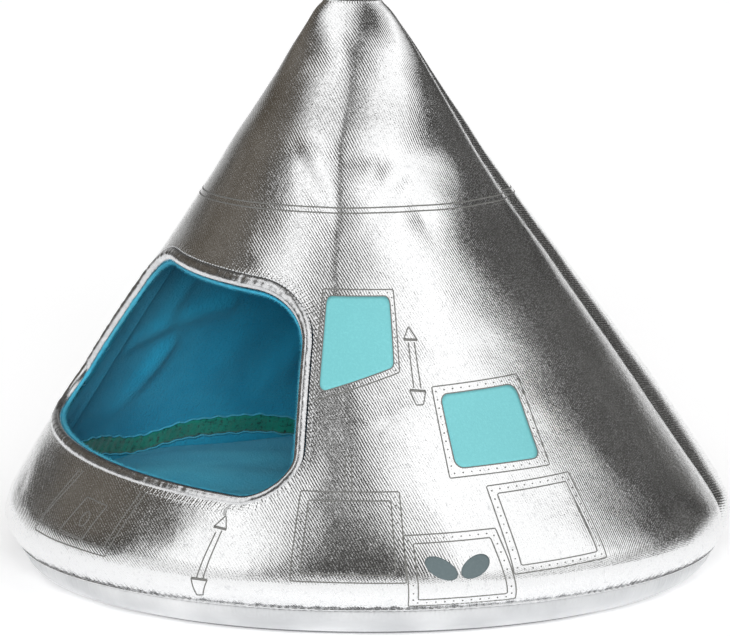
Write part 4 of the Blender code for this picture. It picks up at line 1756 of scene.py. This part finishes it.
class BED_OT_tape(Operator):
    """Green tape over the seam between lining and floor"""

    bl_idname = "bed.tape"
    bl_label = "Floor Tape"

    def execute(self, context):
        look, rows = group("look"), tape_rows()
        face = np.stack([wall + inward * rise[:, None] for wall, inward, rise in rows], 1)
        back = np.stack([wall + inward * TAPE_LIFT for wall, inward, _ in rows], 1)
        sections = np.concatenate((face, back[:, -2:0:-1]), 1)
        item = make_object(loop_tube("floor_seam_tape", sections))
        finish(item, shared(woven_tape), "green_tape", ("floor_tape",))
        trim = []
        for wall, inward, _ in (rows[0], rows[-1]):
            spots = wall + inward * EDGING_LIFT
            up = np.cross(inward, unit(steps_round(spots)))
            rings = round_sections(spots, inward * EDGING_RADIUS, up * EDGING_RADIUS, EDGING_SIDES)
            trim.append((rings.reshape(-1, 3), strip_faces(TAPE_COLUMNS, EDGING_SIDES, joined=True)))
        edging = make_object(gather_parts("tape_edging", trim))
        finish(edging, shared(plush, "edge_plush", look.plush_light, look.plush_edge), "teal_plush")
        return {"FINISHED"}


class BED_OT_print(Operator):
    """Printed lines, window panes and ovals"""

    bl_idname = "bed.print"
    bl_label = "Print"

    def execute(self, context):
        art, look = group("print"), group("look")
        skin = ClothSkin()
        strips = [ribbon(skin, points, closed, art.line_width * width, art.lift)
                  for points, closed, width in print_paths()]
        panes, spots = [], []
        for name in WINDOWS:
            corners, gap, rounding = FRAMES[name]
            inner = round_corners(draw_in(corners, gap + PANE_GAP), rounding)
            panes += [patch(skin, spaced(outline, True, PANE_STEP), art.lift * PANE_LIFT, PANE_RINGS)
                      for outline in on_its_sides(name, inner)]
        for outline in (oval(*shape) for shape in OVALS):
            spots += [patch(skin, side, art.lift * OVAL_LIFT) for side in (outline, mirrored(outline))]
        for name, parts, ink, tone, rough in (
                ("printed_lines", strips, "printed_ink", look.ink, INK_ROUGHNESS),
                ("printed_panes", panes, "printed_pane", look.pane, 0.38),
                ("printed_ovals", spots, "printed_vent", look.vent, 0.5)):
            item = make_object(gather_parts(name, parts))
            finish(item, shared(printed, ink, tone, rough), "silver_cloth")
        return {"FINISHED"}


class BED_OT_rivets(Operator):
    """Printed rivets between the double lines"""

    bl_idname = "bed.rivets"
    bl_label = "Rivets"

    def execute(self, context):
        art = group("print")
        skin = ClothSkin()
        rows = []
        for name, (corners, gap, _) in FRAMES.items():
            middle = round_corners(draw_in(corners, gap / 2.0), FRAME_ROUNDING)
            for outline in on_its_sides(name, middle):
                rows.append((*skin.lay(spaced(outline, True), 0.0001), True))
        tree = row_tree(shared(printed, "printed_ink", group("look").ink, INK_ROUGHNESS), 61)
        dot = art.dot_radius * 2.0
        item = run_tree("printed_rivets", path_mesh("printed_rivets", rows), tree,
                        pitch=art.dot_pitch, length=dot, width=dot, height=0.0004, slant=0.0)
        finish(item, None, "silver_cloth")
        return {"FINISHED"}


# Where stitches lie off the hem's outer edge, where those on the wall start, and the foot's level
STITCH_PATH_STEP = 0.0013
HEM_STITCH_ASIDE = -0.0006
WALL_STITCH_ASIDE = 0.0036
WALL_STITCH_RIGHT_OF = 0.050
WALL_STITCH_ABOVE = 0.075
FOOT_STITCH_LEVEL = 23.2
FOOT_STITCH_SPOTS = 900

# Length, width, height and slant of a stitch, with the pitch in front of it on wall and foot
HEM_STITCH = (0.0019, 0.00055, 0.0005, 0.25)
WALL_STITCH = (0.0031, 0.0019, 0.00042, 0.0003, 0.0)
FOOT_STITCH = (0.0030, 0.0018, 0.00045, 0.0004, 0.0)


class BED_OT_stitches(Operator):
    """Stitches along the hem, beside it and round the foot"""

    bl_idname = "bed.stitches"
    bl_label = "Stitches"

    def execute(self, context):
        skin = ClothSkin()
        tree = row_tree(shared(sewing_thread), 71)
        path = EdgePath(0.0, STITCH_PATH_STEP)
        widths = path.hem_widths()
        edge = path.spots + path.aside * (widths + HEM_STITCH_ASIDE)[:, None] + path.normals * 0.0001
        wall = path.spots + path.aside * (widths + WALL_STITCH_ASIDE)[:, None]
        wall = np.roll(wall, -np.argmin(wall[:, 0]), axis=0)
        wall = wall[(wall[:, 0] > WALL_STITCH_RIGHT_OF) & (wall[:, 2] > WALL_STITCH_ABOVE)]
        turns = np.linspace(-180.0, 180.0, FOOT_STITCH_SPOTS, endpoint=False)
        foot = [(turn, FOOT_STITCH_LEVEL) for turn in turns]
        for name, slot, row, sizes in (
                ("hem_stitches", "silver_hem", (edge, path.normals, True),
                 (group("entrance").stitch_pitch, *HEM_STITCH)),
                ("wall_stitches", "silver_cloth", (*skin.under(wall, 0.00003), False),
                 WALL_STITCH),
                ("foot_stitches", "silver_hem", (*skin.lay(foot, 0.00005), True),
                 FOOT_STITCH)):
            named = dict(zip(("pitch", "length", "width", "height", "slant"), sizes))
            finish(run_tree(name, path_mesh(name, [row]), tree, **named), None, slot)
        return {"FINISHED"}


LINING_EDGE_GROW = -0.0002
LINING_EDGE_STEP = 0.0012
LINING_EDGE_DEPTH = 0.0048
LINING_EDGE_RADIUS = 0.00075
LINING_EDGE_LUMPS = 0.00015


class BED_OT_pile(Operator):
    """Fuzzy edge of the lining inside the hem"""

    bl_idname = "bed.pile"
    bl_label = "Lining Edge"

    def execute(self, context):
        look = group("look")
        path = EdgePath(LINING_EDGE_GROW, LINING_EDGE_STEP)
        rng = np.random.default_rng(81)
        lumps = smooth_loop(rng.normal(size=len(path.spots)), 2)
        fat = (LINING_EDGE_RADIUS + LINING_EDGE_LUMPS * lumps)[:, None]
        sections = round_sections(path.spots - path.normals * LINING_EDGE_DEPTH,
                                  path.aside * fat, path.normals * 1.6 * fat, 8)
        edge = make_object(loop_tube("lining_edge", sections))
        tone = shared(plush, "edge_plush", look.plush_light, look.plush_edge)
        finish(edge, tone, "teal_plush")
        item = run_tree("lining_edge_fibres", edge.data.copy(), pile_tree(tone, 82),
                        density=2.2e6, fibre_length=0.0014, fibre_radius=0.00008)
        finish(item, None, "teal_plush")
        return {"FINISHED"}


WHITE = (1.0, 1.0, 1.0)
AMBER = (1.0, 0.72, 0.40)
UPRIGHT = (0.0, 0.0)

# Light panels, in degrees from the camera: left and right edge, low and high edge, softness,
# how far both edges lean in for each degree above SLANT_FROM, colour and strength
LIGHTS = (
    (-72.0, -30.0, 4.0, 57.0, 2.5, UPRIGHT, WHITE, 1.0),
    (22.0, 94.0, 4.0, 57.0, 2.5, (0.0, 1.0), WHITE, 1.0),
    (-112.0, -54.0, 54.0, 72.0, 2.5, UPRIGHT, WHITE, 1.0),
    (-112.0, -94.0, 72.0, 84.0, 2.5, UPRIGHT, WHITE, 1.0),
    (0.0, 100.0, 56.0, 100.0, 2.5, UPRIGHT, WHITE, 1.0),
    (-145.0, -90.0, 12.0, 50.0, 14.0, UPRIGHT, AMBER, 0.045),
    (152.0, 168.0, -10.0, 7.5, 1.5, UPRIGHT, WHITE, 0.95),
    (168.0, 180.0, -10.0, 14.0, 2.0, UPRIGHT, WHITE, 0.55),
    (-180.0, -152.0, -10.0, 14.0, 8.0, UPRIGHT, WHITE, 0.40),
)
SLANT_FROM = 38.0

# The rest of the room: its grey, the size of dim things in it, where they start and end in the
# noise, how much they add, and what is left between them
ROOM = (0.100, 0.098, 0.094)
CLUTTER_SCALE = 10.0
CLUTTER_EDGES = (0.48, 0.70)
CLUTTER_GLOW = 3.6
CLUTTER_FLOOR = 0.40


def light_the_room(context):
    """Dark room with large soft light panels, as the foil's streaks show them."""
    stage = group("stage")
    world = bpy.data.worlds.new("soft_studio")
    context.scene.world = world
    world.use_nodes = True
    world.node_tree.nodes.clear()
    book = NodeWork(world.node_tree)

    def step(value, low, high):
        return book.ramp(value, low, high, interpolation_type="SMOOTHSTEP")

    def degrees(value):
        return book.math("MULTIPLY", value, 180.0 / math.pi)

    way = book.add("ShaderNodeTexCoord").outputs["Generated"]
    turned = book.add("ShaderNodeVectorRotate", {
        "Vector": way, "Angle": -math.radians(stage.heading)}, rotation_type="Z_AXIS").outputs[0]
    back = book.math("MULTIPLY", book.part(turned, "Y"), -1.0)
    side = degrees(book.math("ARCTAN2", book.part(turned, "X"), back))
    up = degrees(book.math("ARCSINE", book.part(turned, "Z")))
    above = book.math("MAXIMUM", book.math("SUBTRACT", up, SLANT_FROM), 0.0)
    clutter = step(book.noise(way, CLUTTER_SCALE, 4.0, 0.65), *CLUTTER_EDGES)
    clutter = book.math("ADD", book.math("MULTIPLY", clutter, CLUTTER_GLOW), CLUTTER_FLOOR)
    total = book.scaled(ROOM, clutter)
    for left, right, low, high, soft, slants, tint, strength in LIGHTS:
        mask = book.math("MULTIPLY", step(up, low - soft, low + soft), step(up, high + soft, high - soft))
        if left > -180.0:
            place = book.math("SUBTRACT", side, book.math("MULTIPLY", above, slants[0]))
            mask = book.math("MULTIPLY", mask, step(place, left - soft, left + soft))
        if right < 180.0:
            place = book.math("ADD", side, book.math("MULTIPLY", above, slants[1]))
            mask = book.math("MULTIPLY", mask, step(place, right + soft, right - soft))
        lit = book.scaled(darker(tint, strength * stage.key), mask)
        total = book.add("ShaderNodeVectorMath", {0: total, 1: lit}, operation="ADD").outputs[0]
    glow = book.add("ShaderNodeBackground", {"Color": total})
    book.add("ShaderNodeOutputWorld", {"Surface": glow.outputs[0]})


SENSOR_WIDTH = 36.0
CLIPPING = (0.05, 200.0)


def aim_camera(scene):
    """The photograph's camera, turned and shifted as its picture shows."""
    stage = group("stage")
    tilt, turn = math.radians(stage.elevation), math.radians(stage.heading)
    data = bpy.data.cameras.new("photo_camera")
    data.sensor_width = SENSOR_WIDTH
    data.lens = stage.lens
    data.shift_x = stage.shift / PHOTO_WIDTH
    data.clip_start, data.clip_end = CLIPPING
    camera = bpy.data.objects.new("photo_camera", data)
    level = stage.distance * math.cos(tilt)
    camera.location = (level * math.sin(turn), -level * math.cos(turn),
                       group("shell").seam_height + stage.distance * math.sin(tilt))
    camera.rotation_euler = (math.radians(90.0 - stage.pitch), 0.0, turn)
    scene.collection.objects.link(camera)
    scene.camera = camera
    scene.view_settings.view_transform = "Standard"


FLOOR_SIDES = 64
FLOOR_DROP = 0.0002
FILL_ANGLE = 30.0


class BED_OT_stage(Operator):
    """Floor, light and camera"""

    bl_idname = "bed.stage"
    bl_label = "Stage"

    def execute(self, context):
        stage = group("stage")
        size = stage.floor_radius
        edge = [(size * math.sin(turn), -size * math.cos(turn), -FLOOR_DROP)
                for turn in np.linspace(0.0, math.tau, FLOOR_SIDES, endpoint=False)]
        floor = make_object(mesh_from("studio_floor", edge, [tuple(range(FLOOR_SIDES))], smooth=False))
        floor.data.materials.append(soft_floor())
        light_the_room(context)
        lamp = bpy.data.lights.new("soft_fill", "SUN")
        lamp.energy, lamp.angle = stage.fill, math.radians(FILL_ANGLE)
        fill = bpy.data.objects.new("soft_fill", lamp)
        fill.rotation_euler = (math.radians(90.0 - stage.fill_height), 0.0,
                               math.radians(stage.fill_heading))
        fill.visible_glossy = False
        context.scene.collection.objects.link(fill)
        aim_camera(context.scene)
        return {"FINISHED"}


OPERATORS = (
    BED_OT_walls, BED_OT_hem, BED_OT_lining, BED_OT_base, BED_OT_underside, BED_OT_cushion,
    BED_OT_tape, BED_OT_print, BED_OT_rivets, BED_OT_stitches, BED_OT_pile, BED_OT_stage,
)
GROUPS = {
    "bed_shell": BedShell, "bed_folds": BedFolds, "bed_entrance": BedEntrance,
    "bed_inside": BedInside, "bed_print": BedPrint, "bed_look": BedLook, "bed_stage": BedStage,
}


class BED_PT_panel(Panel):
    """Sizes and steps of the pet bed"""

    bl_label = "Capsule Pet Bed"
    bl_space_type = "VIEW_3D"
    bl_region_type = "UI"
    bl_category = "Pet Bed"

    def draw(self, context):
        for name, settings in GROUPS.items():
            column = self.layout.column(align=True)
            column.label(text=name.replace("_", " ").title())
            for key in settings.__annotations__:
                column.prop(getattr(context.scene, name), key)
        for operator in OPERATORS:
            self.layout.operator(operator.bl_idname)


def register():
    """Add the settings, operators and panel."""
    for settings in GROUPS.values():
        bpy.utils.register_class(settings)
    for operator in OPERATORS:
        bpy.utils.register_class(operator)
    bpy.utils.register_class(BED_PT_panel)
    for name, settings in GROUPS.items():
        setattr(bpy.types.Scene, name, PointerProperty(type=settings))


def unregister():
    """Remove what register added."""
    for name in GROUPS:
        delattr(bpy.types.Scene, name)
    bpy.utils.unregister_class(BED_PT_panel)
    for operator in reversed(OPERATORS):
        bpy.utils.unregister_class(operator)
    for settings in reversed(GROUPS.values()):
        bpy.utils.unregister_class(settings)


def main():
    """Make every piece in order."""
    register()
    for operator in OPERATORS:
        action = getattr(bpy.ops.bed, operator.bl_idname.split(".")[1])
        if action() != {"FINISHED"}:
            raise RuntimeError(f"{operator.bl_label} was not finished")


if __name__ == "__main__":
    main()
